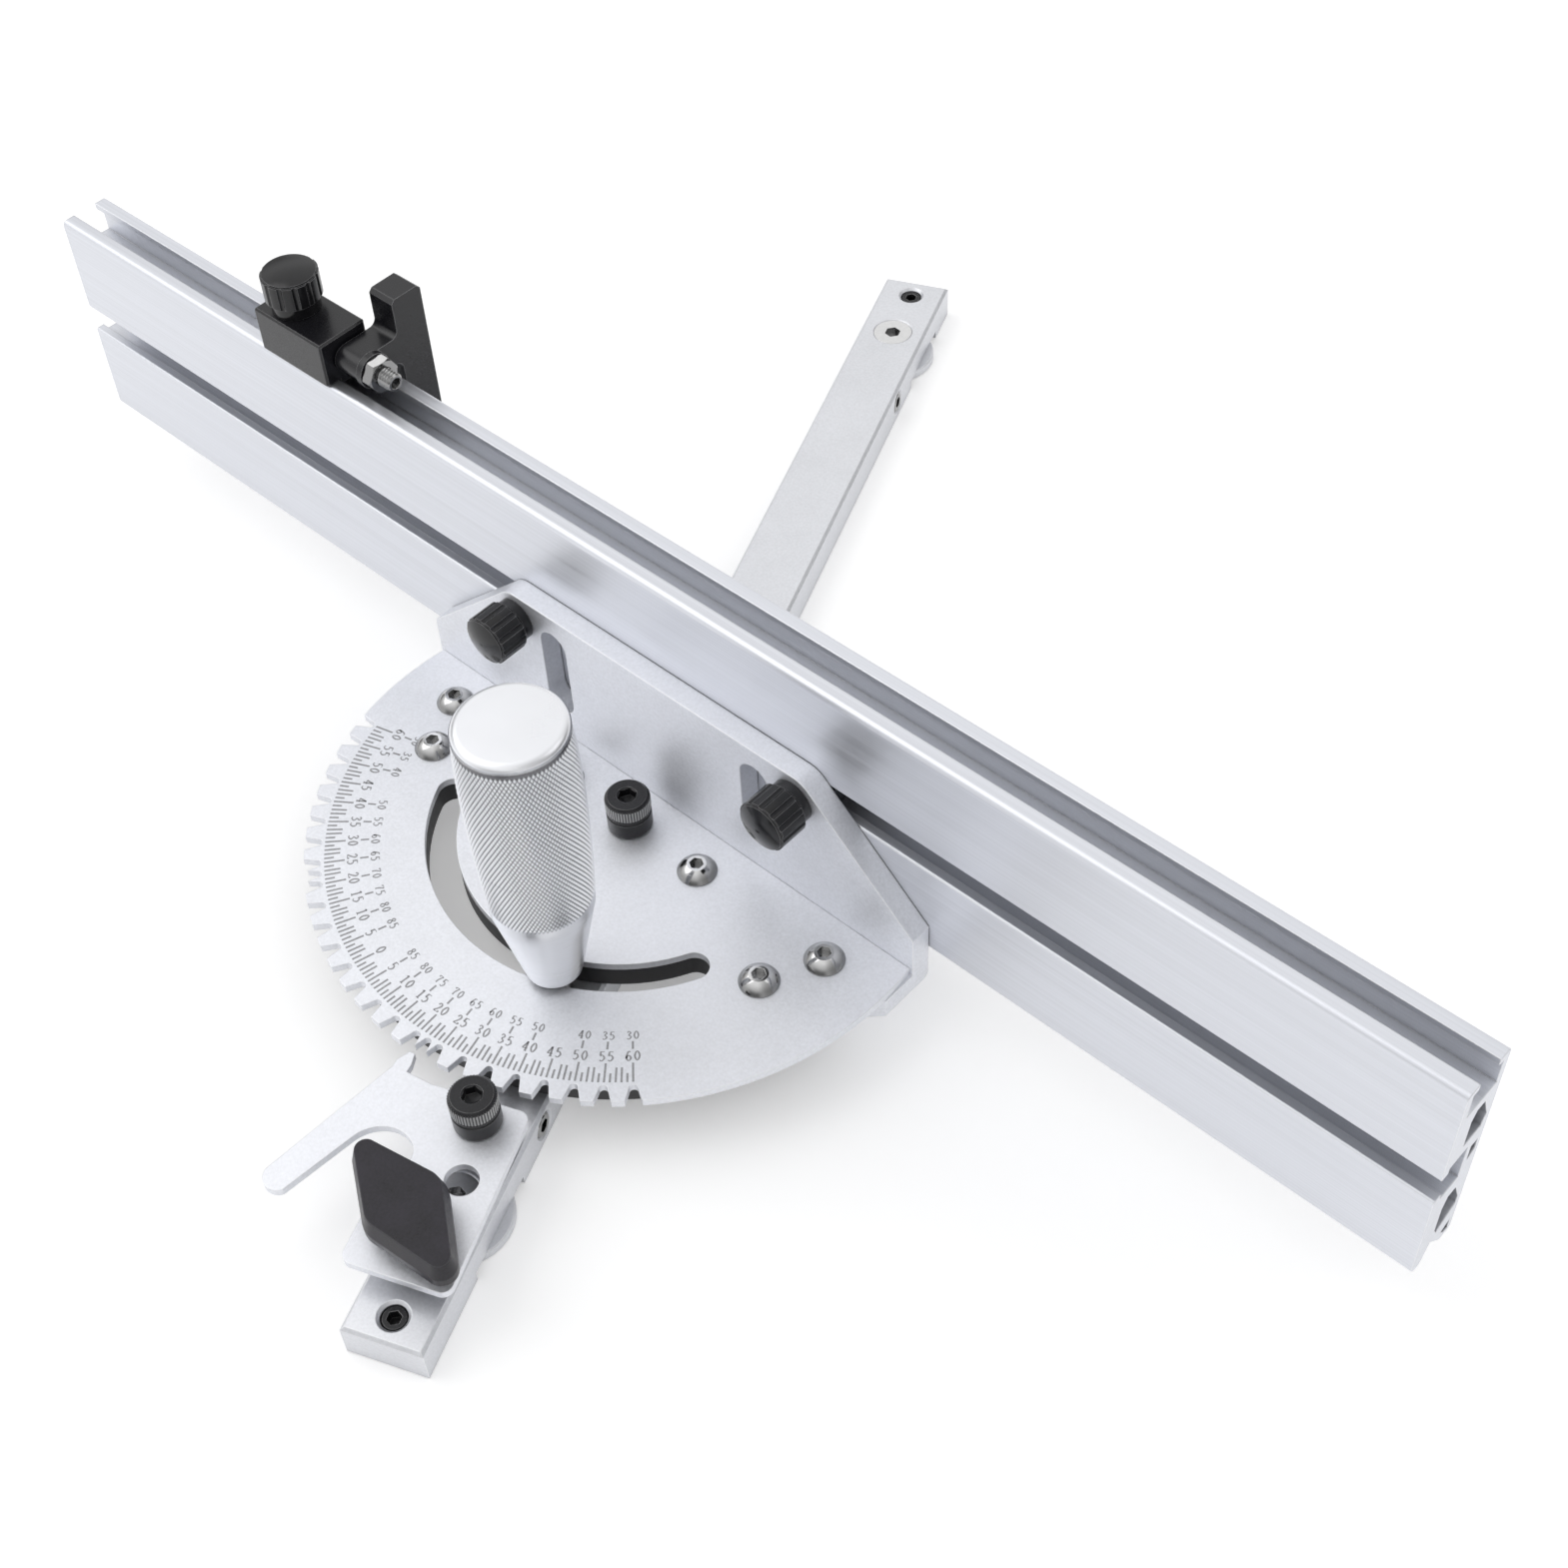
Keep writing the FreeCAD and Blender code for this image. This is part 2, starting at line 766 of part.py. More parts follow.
def indexBushes():
    """Spacers that carry the index plate at the sector's level."""
    outer = size.bushDiameter / 2
    return group("index_bushes", [
        washer("index_bush", size.shoulderDiameter / 2 + size.seatGap, outer, barTop, size.footThick,
               asSize(0), -indexReach),
        washer("clamp_bush", size.boltDiameter / 2, outer, barTop, size.footThick,
               size.clampAcross, -clampReach),
    ])


def stud(label, across, along, top):
    """A threaded stud that stands in a seat of the bar."""
    body = newBody(label)
    low = barTop - size.seatDepth + size.seatGap
    edge = size.barChamfer / 2
    turned(body, [(0, low), (studRadius, low), (studRadius, top - edge), (studRadius - edge, top), (0, top)])
    onBar(body, across, along, 0)
    return keep(body)


def notchOutline(angle):
    """A notch that narrows from the rim to a round root, cut past the rim."""
    past = size.notchPast
    rootHalf = size.notchRoot / 2
    rootLine = notchRootRadius + rootHalf
    slope = (size.notchMouth / 2 - rootHalf) / (size.rimRadius - rootLine)
    mouthHalf = size.notchMouth / 2 + slope * past
    return [polar(angle, size.rimRadius + past, -mouthHalf),
            (*polar(angle, rootLine, -rootHalf), rootHalf, -1),
            (*polar(angle, notchRootRadius, asSize(0)), rootHalf, -1),
            polar(angle, rootLine, rootHalf),
            polar(angle, size.rimRadius + past, mouthHalf)]


def polar(angle, radius, sideways):
    """A point at an angle and radius about the pivot, moved sideways anticlockwise."""
    x = radius * cosine(angle) - sideways * sine(angle)
    y = radius * sine(angle) + sideways * cosine(angle)
    return x, y


def rimOutline(radius, back):
    """The part of a disc that lies in front of a straight back edge."""
    x = root(radius * radius - back * back)
    return [(x, back), (-x, back, radius, 1), (asSize(0), -radius, radius, 1)]


def lockSlot():
    """The curved slot that the lock stud runs in, the same in the plate and in the pad."""
    first = size.slotReach + frontAngle
    start = (size.slotRadius * cosine(first), size.slotRadius * sine(first))
    return curvedSlot((asSize(0), asSize(0)), start, size.slotReach * 2, size.slotWidth / 2)


def bracketScrewPlaces():
    return [(side * offset, -size.screwRow)
            for offset in (size.outerScrewOffset, size.innerScrewOffset) for side in (-1, 1)]


def padScrewPlaces():
    return [(side * size.padScrewOffset, -size.padScrewRow) for side in (-1, 1)]


def holes(body, level, places, radius):
    sketch = sketchOn(body, "XY_Plane", level)
    for x, y in places:
        ring(sketch, x, y, radius)
    return pocket(body, sketch)


def sectorPlate():
    body = newBody("sector_plate")
    back = size.flangeFront - size.seatGap
    pad(body, trace(sketchOn(body, "XY_Plane"), rimOutline(size.rimRadius, back)), size.plateThick)
    pocket(body, trace(sketchOn(body, "XY_Plane", size.plateThick), lockSlot()))
    holes(body, size.plateThick, bracketScrewPlaces() + padScrewPlaces(),
          size.plateScrewDiameter / 2 + size.seatGap)
    holes(body, size.plateThick, [(0, 0)], shoulderHole)
    notch = notchOutline(scaleCentre - size.notchSpan)
    notch = pocket(body, trace(sketchOn(body, "XY_Plane", size.plateThick), notch))
    count = round(2 * DIMENSIONS["notchSpan"] / DIMENSIONS["notchStep"]) + 1
    around(body, notch, count, size.notchStep * (count - 1))
    between = notchOutline(scaleCentre - size.halfNotch)
    between = pocket(body, trace(sketchOn(body, "XY_Plane", size.plateThick), between))
    around(body, between, 2, size.halfNotch * 2)
    place(body, 0, 0, plateBottom)
    return keep(body)


def glidePad():
    body = newBody("glide_pad")
    back = -size.footFront - size.seatGap
    pad(body, trace(sketchOn(body, "XY_Plane"), rimOutline(padRadius, back)), size.footThick)
    pocket(body, trace(sketchOn(body, "XY_Plane", size.footThick), lockSlot()))
    holes(body, size.footThick, padScrewPlaces(), size.plateScrewDiameter / 2 + size.seatGap)
    place(body, 0, 0, footBottom)
    return keep(body)


def fenceBracket():
    """One angle piece: the foot under the sector and the upright flange for the fence."""
    body = newBody("fence_bracket")
    wide = footHalf
    frontHalf = footHalf - size.footFrontStep
    foot = [(wide, size.footSide), (wide, flangeBack), (-wide, flangeBack), (-wide, size.footSide),
            (-frontHalf, -size.footFront), (frontHalf, -size.footFront)]
    pad(body, trace(sketchOn(body, "XY_Plane", footBottom), foot), size.footThick)
    shoulder = plateTop + size.flangeShoulder
    top = plateTop + size.flangeTop
    topHalf = footHalf - size.flangeTopStep
    flange = [(wide, footBottom), (wide, shoulder), (topHalf, top), (-topHalf, top),
              (-wide, shoulder), (-wide, footBottom)]
    upright = pad(body, trace(sketchOn(body, "XZ_Plane", -flangeBack), flange), size.flangeThick)
    rounded = fillet(body, upright, size.flangeCorner,
                     lambda edge: isStraight(edge, 1) and near(middle(edge).z, top))
    fillet(body, rounded, size.heelRadius,
           lambda edge: isStraight(edge, 0) and near(middle(edge).z, footBottom)
           and near(middle(edge).y, flangeBack))
    openings = sketchOn(body, "XZ_Plane", -size.flangeFront)
    for side in (-1, 1):
        trace(openings, straightSlot(side * size.flangeSlotOffset, plateTop + size.flangeSlotLow,
                                     plateTop + size.flangeSlotHigh, size.flangeSlotWidth / 2))
        ring(openings, side * size.clampOffset, clampLevel, size.boltDiameter / 2 + size.headGap)
    pocket(body, openings)
    holes(body, plateBottom, bracketScrewPlaces(), size.plateScrewDiameter / 2 + size.seatGap)
    holes(body, plateBottom, [(0, 0)], shoulderHole)
    place(body, 0, 0, 0)
    return keep(body)


def sectorScrews():
    screws = []
    head = size.plateHeadDiameter / 2
    shank = size.plateScrewDiameter / 2
    rise, rim, crown = size.plateHeadHeight, size.plateHeadRim, size.plateHeadCrown
    centre = (crown * crown + rise * rise - head * head - rim * rim) / (2 * (rise - rim))
    sphere = root(head * head + (rim - centre) * (rim - centre))
    for x, y in bracketScrewPlaces() + padScrewPlaces():
        body = newBody("sector_screw")
        low = footBottom + size.faceGap - plateTop
        turned(body, [(0, low), (shank, low), (shank, 0), (head, 0), (head, rim, sphere, 1),
                      (crown, rise), (0, rise)])
        socket(body, rise, size.plateSocket, size.plateSocketDepth)
        screws.append(place(body, x, y, plateTop))
    return group("sector_screws", screws)


def tBolt(label, width, length):
    """A bolt with an oblong head below the origin and its shank standing up."""
    body = newBody(label)
    half = width / 2
    halfLength = size.boltHeadLength / 2
    head = trace(sketchOn(body, "XY_Plane", -size.boltHeadThick),
                 rectangle(-halfLength, -half, halfLength, half))
    pad(body, head, size.boltHeadThick)
    edge = size.barChamfer / 2
    turned(body, [(0, -size.boltHeadThick / 2), (studRadius, -size.boltHeadThick / 2),
                  (studRadius, length - edge), (studRadius - edge, length), (0, length)])
    return body


def fenceBolts():
    seat = fenceFront + size.faceLip + size.faceGap
    reach = seat - size.flangeFront + size.faceGap + size.boltEngagement
    width = size.faceCavityHeight - 2 * size.headGap
    return group("fence_bolts", [
        place(tBolt("fence_bolt", width, reach), side * size.clampOffset, seat, clampLevel, (1, 0, 0), 90)
        for side in (-1, 1)
    ])


def flutedKnob(label, diameter, length, collarLength):
    """A small knob standing on its plain collar: a fluted grip, and a domed cap a step in from it."""
    body = newBody(label)
    bore = studRadius + size.turnGap
    depth = size.boltEngagement + size.headGap + size.faceGap
    outer = diameter / 2
    neck = outer * size.knobNeck
    cap = outer - size.knobStep
    capLow = length - size.knobDome
    shoulder = capLow - size.knobBand
    dome = (cap * cap + size.knobDome * size.knobDome) / (2 * size.knobDome)
    turned(body, [(bore, 0), (neck, 0), (neck, collarLength), (outer, collarLength + size.knobFlare),
                  (outer, shoulder), (cap, shoulder), (cap, capLow, dome, 1), (0, length), (0, depth),
                  (bore, depth)])
    across = outer + size.fluteRadius - size.fluteDepth
    flute = ring(sketchOn(body, "XY_Plane", length), across, 0, size.fluteRadius)
    flute = pocket(body, flute, length - collarLength)
    count = DIMENSIONS["fluteCount"]
    around(body, flute, count, 360 * (count - 1) / count)
    return body


def clampKnob(label, side):
    knob = flutedKnob(label, size.clampKnobDiameter, size.clampKnobLength, size.clampKnobCollar)
    place(knob, side * size.clampOffset, size.flangeFront - size.faceGap, clampLevel, (1, 0, 0), 90)
    return keep(knob)


def lockHandle():
    """A turned handle: cone, bellied grip and plain rim, bored from below for the stud."""
    body = newBody("lock_handle")
    low = plateTop + size.faceGap + size.washerThick + size.faceGap
    bore = studRadius + size.turnGap
    belly = size.gripBellyDiameter / 2
    gripLow = (size.gripLowDiameter / 2, plateTop + size.gripLow)
    gripHigh = (size.gripHighDiameter / 2, plateTop + size.gripHigh)
    gripBelly = (belly, plateTop + size.gripBelly)
    rim = size.handleRimDiameter / 2
    top = plateTop + size.handleTop
    soft = size.handleRimRound
    depth = low + size.handleBore

    def bow(end):
        """Radius of an arc that starts upright at the belly and passes through the other end."""
        across, along = belly - end[0], gripBelly[1] - end[1]
        return (across * across + along * along) / (2 * across)

    turned(body, [(bore, low), (size.handleFootDiameter / 2, low),
                  (size.handleConeDiameter / 2, plateTop + size.handleConeTop),
                  (*gripLow, bow(gripLow), 1), (*gripBelly, bow(gripHigh), 1), gripHigh,
                  (rim, gripHigh[1] + size.handleRimStep), (rim, top - soft, soft, 1), (rim - soft, top),
                  (0, top), (0, depth), (bore, depth)])
    onBar(body, asSize(0), -size.slotRadius, 0)
    return keep(body)


def swung(point, angle):
    """A point turned anticlockwise about the index screw."""
    across, along = point[0], point[1] + indexReach
    return (across * cosine(angle) - along * sine(angle),
            across * sine(angle) + along * cosine(angle) - indexReach)


def indexFinger():
    """The finger that goes into a notch; its right flank leans in. It is drawn there, a little
    narrower than the notch, and then swung out to where it stands at rest, clear of the teeth."""
    angle = scaleCentre
    clear = size.rimRadius + size.fingerRoot
    run = size.rimRadius - notchRootRadius - size.notchRoot / 2
    slope = (size.notchMouth - size.notchRoot) / 2 / run
    mouth = size.notchMouth / 2 - size.fingerGap
    tip = mouth - slope * (size.rimRadius - fingerTipRadius)
    drawn = [polar(angle, clear, mouth), polar(angle, size.rimRadius, mouth),
             polar(angle, fingerTipRadius, tip), polar(angle, fingerTipRadius, -tip / size.fingerLean),
             polar(angle, size.rimRadius, -mouth), polar(angle, clear, -mouth)]
    return [swung(point, size.indexSwingIn) for point in drawn]


def indexPlate():
    """Flat plate that turns on the index screw: a finger for the notches, a lever on the
    left with an open hook beside it, and a curved slot for the clamp's stud."""
    body = newBody("index_plate")

    def corner(across, along, *bow):
        return (across, along - indexReach, *bow)

    top = [corner(size.indexRightTop, size.indexEdge), corner(-size.indexShoulder, size.indexEdge)]
    lever = [corner(-size.leverOuterAcross, -size.leverOuterAlong, size.leverEndRadius, 1),
             corner(-size.leverInnerAcross, -size.leverInnerAlong)]
    hook = [corner(-size.leverNeckAcross, -size.leverNeckAlong, size.leverNeckRadius, -1),
            corner(-size.hookAcross, -size.hookAlong, size.hookRadius, -1),
            corner(-size.hookEndAcross, -size.hookEndAlong, size.hookEndRadius, -1),
            corner(-size.hookFootAcross, -size.hookFootAlong)]
    tail = [corner(-size.indexShoulder, -size.indexWaistAlong), corner(-size.indexShoulder, -size.indexTail),
            corner(size.indexRightTail, -size.indexTail)]
    outline = top + indexFinger() + lever + hook + tail
    plate = pad(body, trace(sketchOn(body, "XY_Plane", plateBottom), outline), size.plateThick)
    fillet(body, plate, size.indexCorner, uprightAt([top[0], tail[1], tail[2]]))
    clamp = (size.clampAcross, indexReach - clampReach)
    first = (clamp[0] * cosine(size.indexSwingIn) - clamp[1] * sine(size.indexSwingIn),
             clamp[0] * sine(size.indexSwingIn) + clamp[1] * cosine(size.indexSwingIn))
    slot = curvedSlot((asSize(0), -indexReach), first, size.indexSwingIn + size.indexSwingOut,
                      studRadius + size.clampSlotGap)
    pocket(body, trace(sketchOn(body, "XY_Plane", plateTop), slot))
    holes(body, plateTop, [(0, -indexReach)], shoulderHole)
    holes(body, plateTop, [(size.indexHoleAcross, -indexReach - size.indexHoleAlong)],
          size.indexHoleDiameter / 2)
    onBar(body, asSize(0), asSize(0), 0)
    return keep(body)


def indexKnob():
    """A diamond-shaped slab with sloping sides on a round hub."""
    body = newBody("index_knob")
    low = plateTop + size.faceGap
    slabLow = low + size.indexKnobHubHeight
    corners = [(-size.knobBackAcross, size.knobBackAlong), (-size.knobLeftAcross, -size.knobLeftAlong),
               (size.knobFrontAcross, -size.knobFrontAlong), (size.knobRightAcross, size.knobRightAlong)]
    slab = pad(body, trace(sketchOn(body, "XY_Plane", slabLow), corners), size.indexKnobThick)
    slab = fillet(body, slab, size.knobPointRound, uprightAt(corners[::2]))
    slab = fillet(body, slab, size.knobSideRound, uprightAt(corners[1::2]))
    top = slabLow + size.indexKnobThick
    slab = chamfer(body, slab, size.knobBevelHeight, lambda edge: near(edge.BoundBox.ZMin, top))
    slab.ChamferType = "Two distances"
    drive(slab, "Size2", size.knobBevel)
    pad(body, ring(sketchOn(body, "XY_Plane", low), 0, 0, size.indexKnobHubDiameter / 2),
        size.indexKnobHubHeight)
    bore = ring(sketchOn(body, "XY_Plane", low), 0, 0, studRadius + size.turnGap)
    pocket(body, bore, size.clampStudLength, upwards=True)
    onBar(body, size.clampAcross, -clampReach, 0)
    return keep(body)


def fenceOutline():
    """The extrusion's section: depth from its front face, height from its bottom."""
    depth, height, edge = size.fenceDepth, size.fenceHeight, size.fenceEdge
    soft = size.skirtRound
    face = clampLevel - fenceBottom
    faceHalf, faceCavity = size.faceSlotWidth / 2, size.faceCavityHeight / 2
    top, topHalf, topCavity = size.topSlotCentre, size.topSlotWidth / 2, size.topCavityWidth / 2
    lip, floor = height - size.topLip, height - size.topSlotDepth
    skirt = size.skirtThick
    bottom = [(0, soft, soft, 1), (soft, 0), (skirt - soft, 0, soft, 1), (skirt, soft),
              (skirt + size.chamberWall, size.grooveHeight), (depth - skirt, 0)]
    back = [(depth - edge, 0), (depth, edge), (depth, height - edge), (depth - edge, height)]
    topSlot = [(top + topHalf, height), (top + topHalf, lip), (top + topCavity, lip),
               (top + topCavity, floor), (top - topCavity, floor), (top - topCavity, lip),
               (top - topHalf, lip), (top - topHalf, height)]
    front = [(size.fenceRound, height, size.fenceRound, 1), (0, height - size.fenceRound)]
    mouth = size.slotEdge
    faceSlot = [(0, face + faceHalf + mouth), (mouth, face + faceHalf), (size.faceLip, face + faceHalf),
                (size.faceLip, face + faceCavity), (size.faceCavityDepth, face + faceCavity),
                (size.faceCavityDepth, face - faceCavity), (size.faceLip, face - faceCavity),
                (size.faceLip, face - faceHalf), (mouth, face - faceHalf), (0, face - faceHalf - mouth)]
    return bottom + back + topSlot + front + faceSlot


def fenceChambers():
    """The four hollow chambers inside the section."""
    front, narrow, waist = size.chamberFront, size.chamberNarrow, size.chamberWaist
    inner = size.fenceDepth - size.chamberWall
    face = clampLevel - fenceBottom
    above = face + size.faceCavityHeight / 2 + size.upperChamberGap
    below = face - size.faceCavityHeight / 2 - size.lowerChamberGap
    behind = size.faceCavityDepth + size.chamberWall
    upper = [(front, above), (inner - size.upperChamberBevel, above), (inner, above + size.upperChamberSide),
             (waist, above + size.upperChamberHeight), (narrow, above + size.upperChamberHeight),
             (front, above + size.upperChamberFront)]
    small = [(behind, face - size.smallChamberLow), (behind + size.smallChamberStep, face - size.smallChamberLow),
             (inner, face), (inner, face + size.smallChamberHigh), (behind, face + size.smallChamberHigh)]
    lower = [(front, below - size.lowerChamberFoot), (narrow, below - size.lowerChamberHeight),
             (inner, below - size.lowerChamberHeel), (inner, below - size.lowerChamberSide), (waist, below),
             (narrow, below), (front, below - size.lowerChamberFront)]
    heel = [(waist, size.footChamberLow), (size.footChamberIn, size.chamberWall), (inner, size.chamberWall),
            (inner, size.footChamberHigh)]
    return [upper, small, lower, heel]


def fence():
    body = newBody("fence")
    sketch = sketchOn(body, "YZ_Plane", -(size.fenceLength / 2) - size.fenceShift)
    for outline in [fenceOutline()] + fenceChambers():
        moved = [(fenceFront + point[0], fenceBottom + point[1], *point[2:]) for point in outline]
        trace(sketch, moved)
    pad(body, sketch, size.fenceLength)
    place(body, 0, 0, 0)
    return keep(body)


stopBoltPlace = -size.stopBlockCentre - size.stopKnobOffset
stopBlockEnd = -size.stopBlockCentre + size.stopBlockLength / 2
armStart = stopBlockEnd + size.armGap
nutStart = armStart + size.armThick + size.armBossLength + size.faceGap


def stopBlock():
    """The stop's block on the fence's top, with a key that keeps it square in the slot."""
    body = newBody("stop_block")
    half = size.stopBlockLength / 2
    centre = -size.stopBlockCentre
    slab = trace(sketchOn(body, "XY_Plane", stopLevel),
                 rectangle(centre - half, fenceFront, centre + half, fenceFront + size.fenceDepth))
    slab = pad(body, slab, size.stopBlockHeight)
    chamfer(body, slab, size.stopBlockEdge, lambda edge: not near(middle(edge).z, stopLevel))
    keyHalf = size.topSlotWidth / 2 - size.headGap
    key = trace(sketchOn(body, "XY_Plane", stopLevel - size.stopKeyDepth),
                rectangle(centre - half, topSlotLine - keyHalf, centre + half, topSlotLine + keyHalf))
    pad(body, key, size.stopKeyDepth)
    bolt = ring(sketchOn(body, "XY_Plane", stopLevel + size.stopBlockHeight), stopBoltPlace, topSlotLine,
                size.boltDiameter / 2 + size.headGap)
    pocket(body, bolt)
    seat = ring(sketchOn(body, "YZ_Plane", stopBlockEnd), topSlotLine, stopAxis, size.stopStudDiameter / 2)
    pocket(body, seat, size.stopStudSeat)
    place(body, 0, 0, 0)
    return keep(body)


def stopBolt():
    """T-bolt in the top slot, up through the block into the knob."""
    seat = fenceTop - size.topLip - size.faceGap
    reach = stopLevel + size.stopBlockHeight + size.faceGap + size.boltEngagement - seat
    bolt = tBolt("stop_bolt", size.topCavityWidth - 2 * size.headGap, reach)
    place(bolt, stopBoltPlace, topSlotLine, seat)
    return keep(bolt)


def stopKnob():
    knob = flutedKnob("stop_knob", size.stopKnobDiameter, size.stopKnobLength, size.stopKnobCollar)
    place(knob, stopBoltPlace, topSlotLine, stopLevel + size.stopBlockHeight + size.faceGap)
    return keep(knob)


def stopStud():
    """The stud that the arm turns on, with a hexagon socket in its free end."""
    body = newBody("stop_stud")
    radius = size.stopStudDiameter / 2 - size.seatGap
    length = size.stopStudSeat - size.seatGap + size.stopStudReach
    edge = size.barChamfer / 2
    turned(body, [(0, 0), (radius, 0), (radius, length - edge), (radius - edge, length), (0, length)])
    socket(body, length, size.stopSocket, size.socketDepth)
    start = stopBlockEnd - size.stopStudSeat + size.seatGap
    place(body, start, topSlotLine, stopAxis, (0, 1, 0), 90)
    return keep(body)


def stopNut():
    """A hexagon nut, its corners turned off at both ends."""
    body = newBody("stop_nut")
    sketch = trace(sketchOn(body, "XY_Plane"), hexagon(size.nutFlats))
    ring(sketch, 0, 0, size.stopStudDiameter / 2)
    pad(body, sketch, size.nutLength)
    outside = size.nutFlats / math.sqrt(3) + size.headGap
    flat = size.nutFlats / 2
    for level, side in ((asSize(0), 1), (size.nutLength, -1)):
        groove = body.newObject("PartDesign::Groove", "Groove")
        groove.Profile = trace(sketchOn(body, "XZ_Plane"), [
            (flat, level), (outside, level), (outside, level + side * size.nutChamfer)][::side])
        groove.ReferenceAxis = (originOf(body, "Z_Axis"), [""])
        groove.Angle = 360
    place(body, nutStart, topSlotLine, stopAxis, (0, 1, 0), 90)
    return keep(body)


def stopArm():
    """Arm that hangs over the fence: a limb from the stud, an upright and a long blade. A boss
    round the stud carries the nut."""
    body = newBody("stop_arm")
    soft = size.armCorner
    low, high = stopAxis - size.armHalfHeight, stopAxis + size.armHalfHeight
    inside = fenceFront + size.fenceDepth + size.armFenceGap
    far = inside + size.armBladeThick
    bore = size.stopStudDiameter / 2 - size.seatGap + size.turnGap
    tip, top = stopAxis - size.armDrop, stopAxis + size.armRise
    front = topSlotLine - size.armFront
    half = size.armHalfHeight
    outline = [(front + half, low), (inside - soft, low, soft, -1), (inside, low - soft), (inside, tip + soft),
               (inside + soft, tip), (far - soft, tip), (far, tip + soft), (far, top - soft / 2),
               (far - soft / 2, top), (inside + soft / 2, top), (inside, top - soft / 2),
               (inside, high + soft, soft, -1), (inside - soft, high), (front + half, high, half, 1),
               (front, stopAxis, half, 1)]
    sketch = trace(sketchOn(body, "YZ_Plane", armStart), outline)
    ring(sketch, topSlotLine, stopAxis, bore)
    pad(body, sketch, size.armThick)
    boss = ring(sketchOn(body, "YZ_Plane", armStart + size.armThick), topSlotLine, stopAxis,
                size.armBossDiameter / 2)
    ring(boss, topSlotLine, stopAxis, bore)
    pad(body, boss, size.armBossLength)
    place(body, 0, 0, 0)
    return keep(body)


def build():
    guideBar()
    guideDisc("near_guide_disc", -nearDiscReach)
    guideDisc("far_guide_disc", farDiscReach)
    group("disc_screws", [discScrew(-nearDiscReach), discScrew(farDiscReach)])
    endGrubScrews()
    sideGrubScrews()
    shoulderScrew("pivot_screw", asSize(0))
    collar("pivot_collar", asSize(0))
    shoulderScrew("index_screw", -indexReach)
    collar("index_collar", -indexReach)
    indexBushes()
    stud("index_clamp_stud", size.clampAcross, -clampReach,
         plateTop + size.clampStudLength - size.headGap)
    stud("lock_stud", asSize(0), -size.slotRadius, plateTop + size.handleBore)
    keep(washer("lock_washer", size.boltDiameter / 2, size.washerDiameter / 2, collarBottom,
                size.washerThick, asSize(0), -size.slotRadius))
    sectorPlate()
    glidePad()
    fenceBracket()
    sectorScrews()
    fenceBolts()
    clampKnob("left_fence_knob", -1)
    clampKnob("right_fence_knob", 1)
    lockHandle()
    indexPlate()
    indexKnob()
    fence()
    stopBlock()
    stopBolt()
    stopKnob()
    stopStud()
    stopNut()
    stopArm()
    doc.recompute()


def check():
    """Stop if anything in the document failed or a sub-part has no sound solid."""
    for item in doc.Objects:
        if "Invalid" in item.State or "Error" in item.State:
            raise RuntimeError(f"{item.Label} ({item.Name}) failed: {item.State}")
    for node in nodes:
        if node.Shape.isNull() or not node.Shape.isValid() or not node.Shape.Solids:
            raise RuntimeError(f"{node.Label} has no sound solid")


def export():
    os.makedirs("parts", exist_ok=True)
    for node in nodes:
        node.Shape.exportStep(f"parts/{node.Label}.step")
        box = node.Shape.BoundBox
        print(f"{node.Label:18s} solids {len(node.Shape.Solids)} volume {node.Shape.Volume:10.1f}",
              f"x {box.XMin:7.1f} {box.XMax:7.1f} y {box.YMin:7.1f} {box.YMax:7.1f}",
              f"z {box.ZMin:6.1f} {box.ZMax:6.1f}")


build()
check()
export()
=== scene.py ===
import json
import math

import bpy
import numpy as np
from mathutils import Matrix, Vector


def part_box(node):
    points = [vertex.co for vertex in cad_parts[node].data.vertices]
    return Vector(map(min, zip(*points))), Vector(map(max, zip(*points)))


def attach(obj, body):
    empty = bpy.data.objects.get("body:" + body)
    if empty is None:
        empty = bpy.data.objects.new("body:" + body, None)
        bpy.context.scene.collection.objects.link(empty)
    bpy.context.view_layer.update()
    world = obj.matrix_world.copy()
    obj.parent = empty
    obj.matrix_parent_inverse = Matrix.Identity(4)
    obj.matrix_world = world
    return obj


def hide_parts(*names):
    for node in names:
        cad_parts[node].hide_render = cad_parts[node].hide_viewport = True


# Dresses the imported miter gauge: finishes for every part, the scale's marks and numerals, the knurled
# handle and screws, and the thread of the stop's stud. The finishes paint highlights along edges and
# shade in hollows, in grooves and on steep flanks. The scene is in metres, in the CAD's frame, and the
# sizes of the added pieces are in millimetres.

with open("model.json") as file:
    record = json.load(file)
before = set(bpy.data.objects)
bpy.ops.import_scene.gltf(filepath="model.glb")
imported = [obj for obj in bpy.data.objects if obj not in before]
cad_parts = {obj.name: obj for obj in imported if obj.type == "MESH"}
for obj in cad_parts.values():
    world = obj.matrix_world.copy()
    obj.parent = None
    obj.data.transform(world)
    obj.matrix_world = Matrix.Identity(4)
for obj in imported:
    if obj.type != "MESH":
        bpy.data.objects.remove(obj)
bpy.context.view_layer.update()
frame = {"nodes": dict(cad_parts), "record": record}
nodes = frame["nodes"]
mm = 0.001
print("frame loaded:", len(nodes), "nodes")


# The photograph's camera, as solved from the gauge in it.
cameraSetup = {
    "place": (0.26866, -0.22182, 0.42738),
    "ahead": (-0.49773, 0.45184, -0.74034),
    "right": (0.72359, 0.68695, -0.06721),
    "focalPixels": 2278.4,
    "axisPixel": (692.17, 739.74),
    "imagePixels": 1569,
    "sensor": 36.0,
}


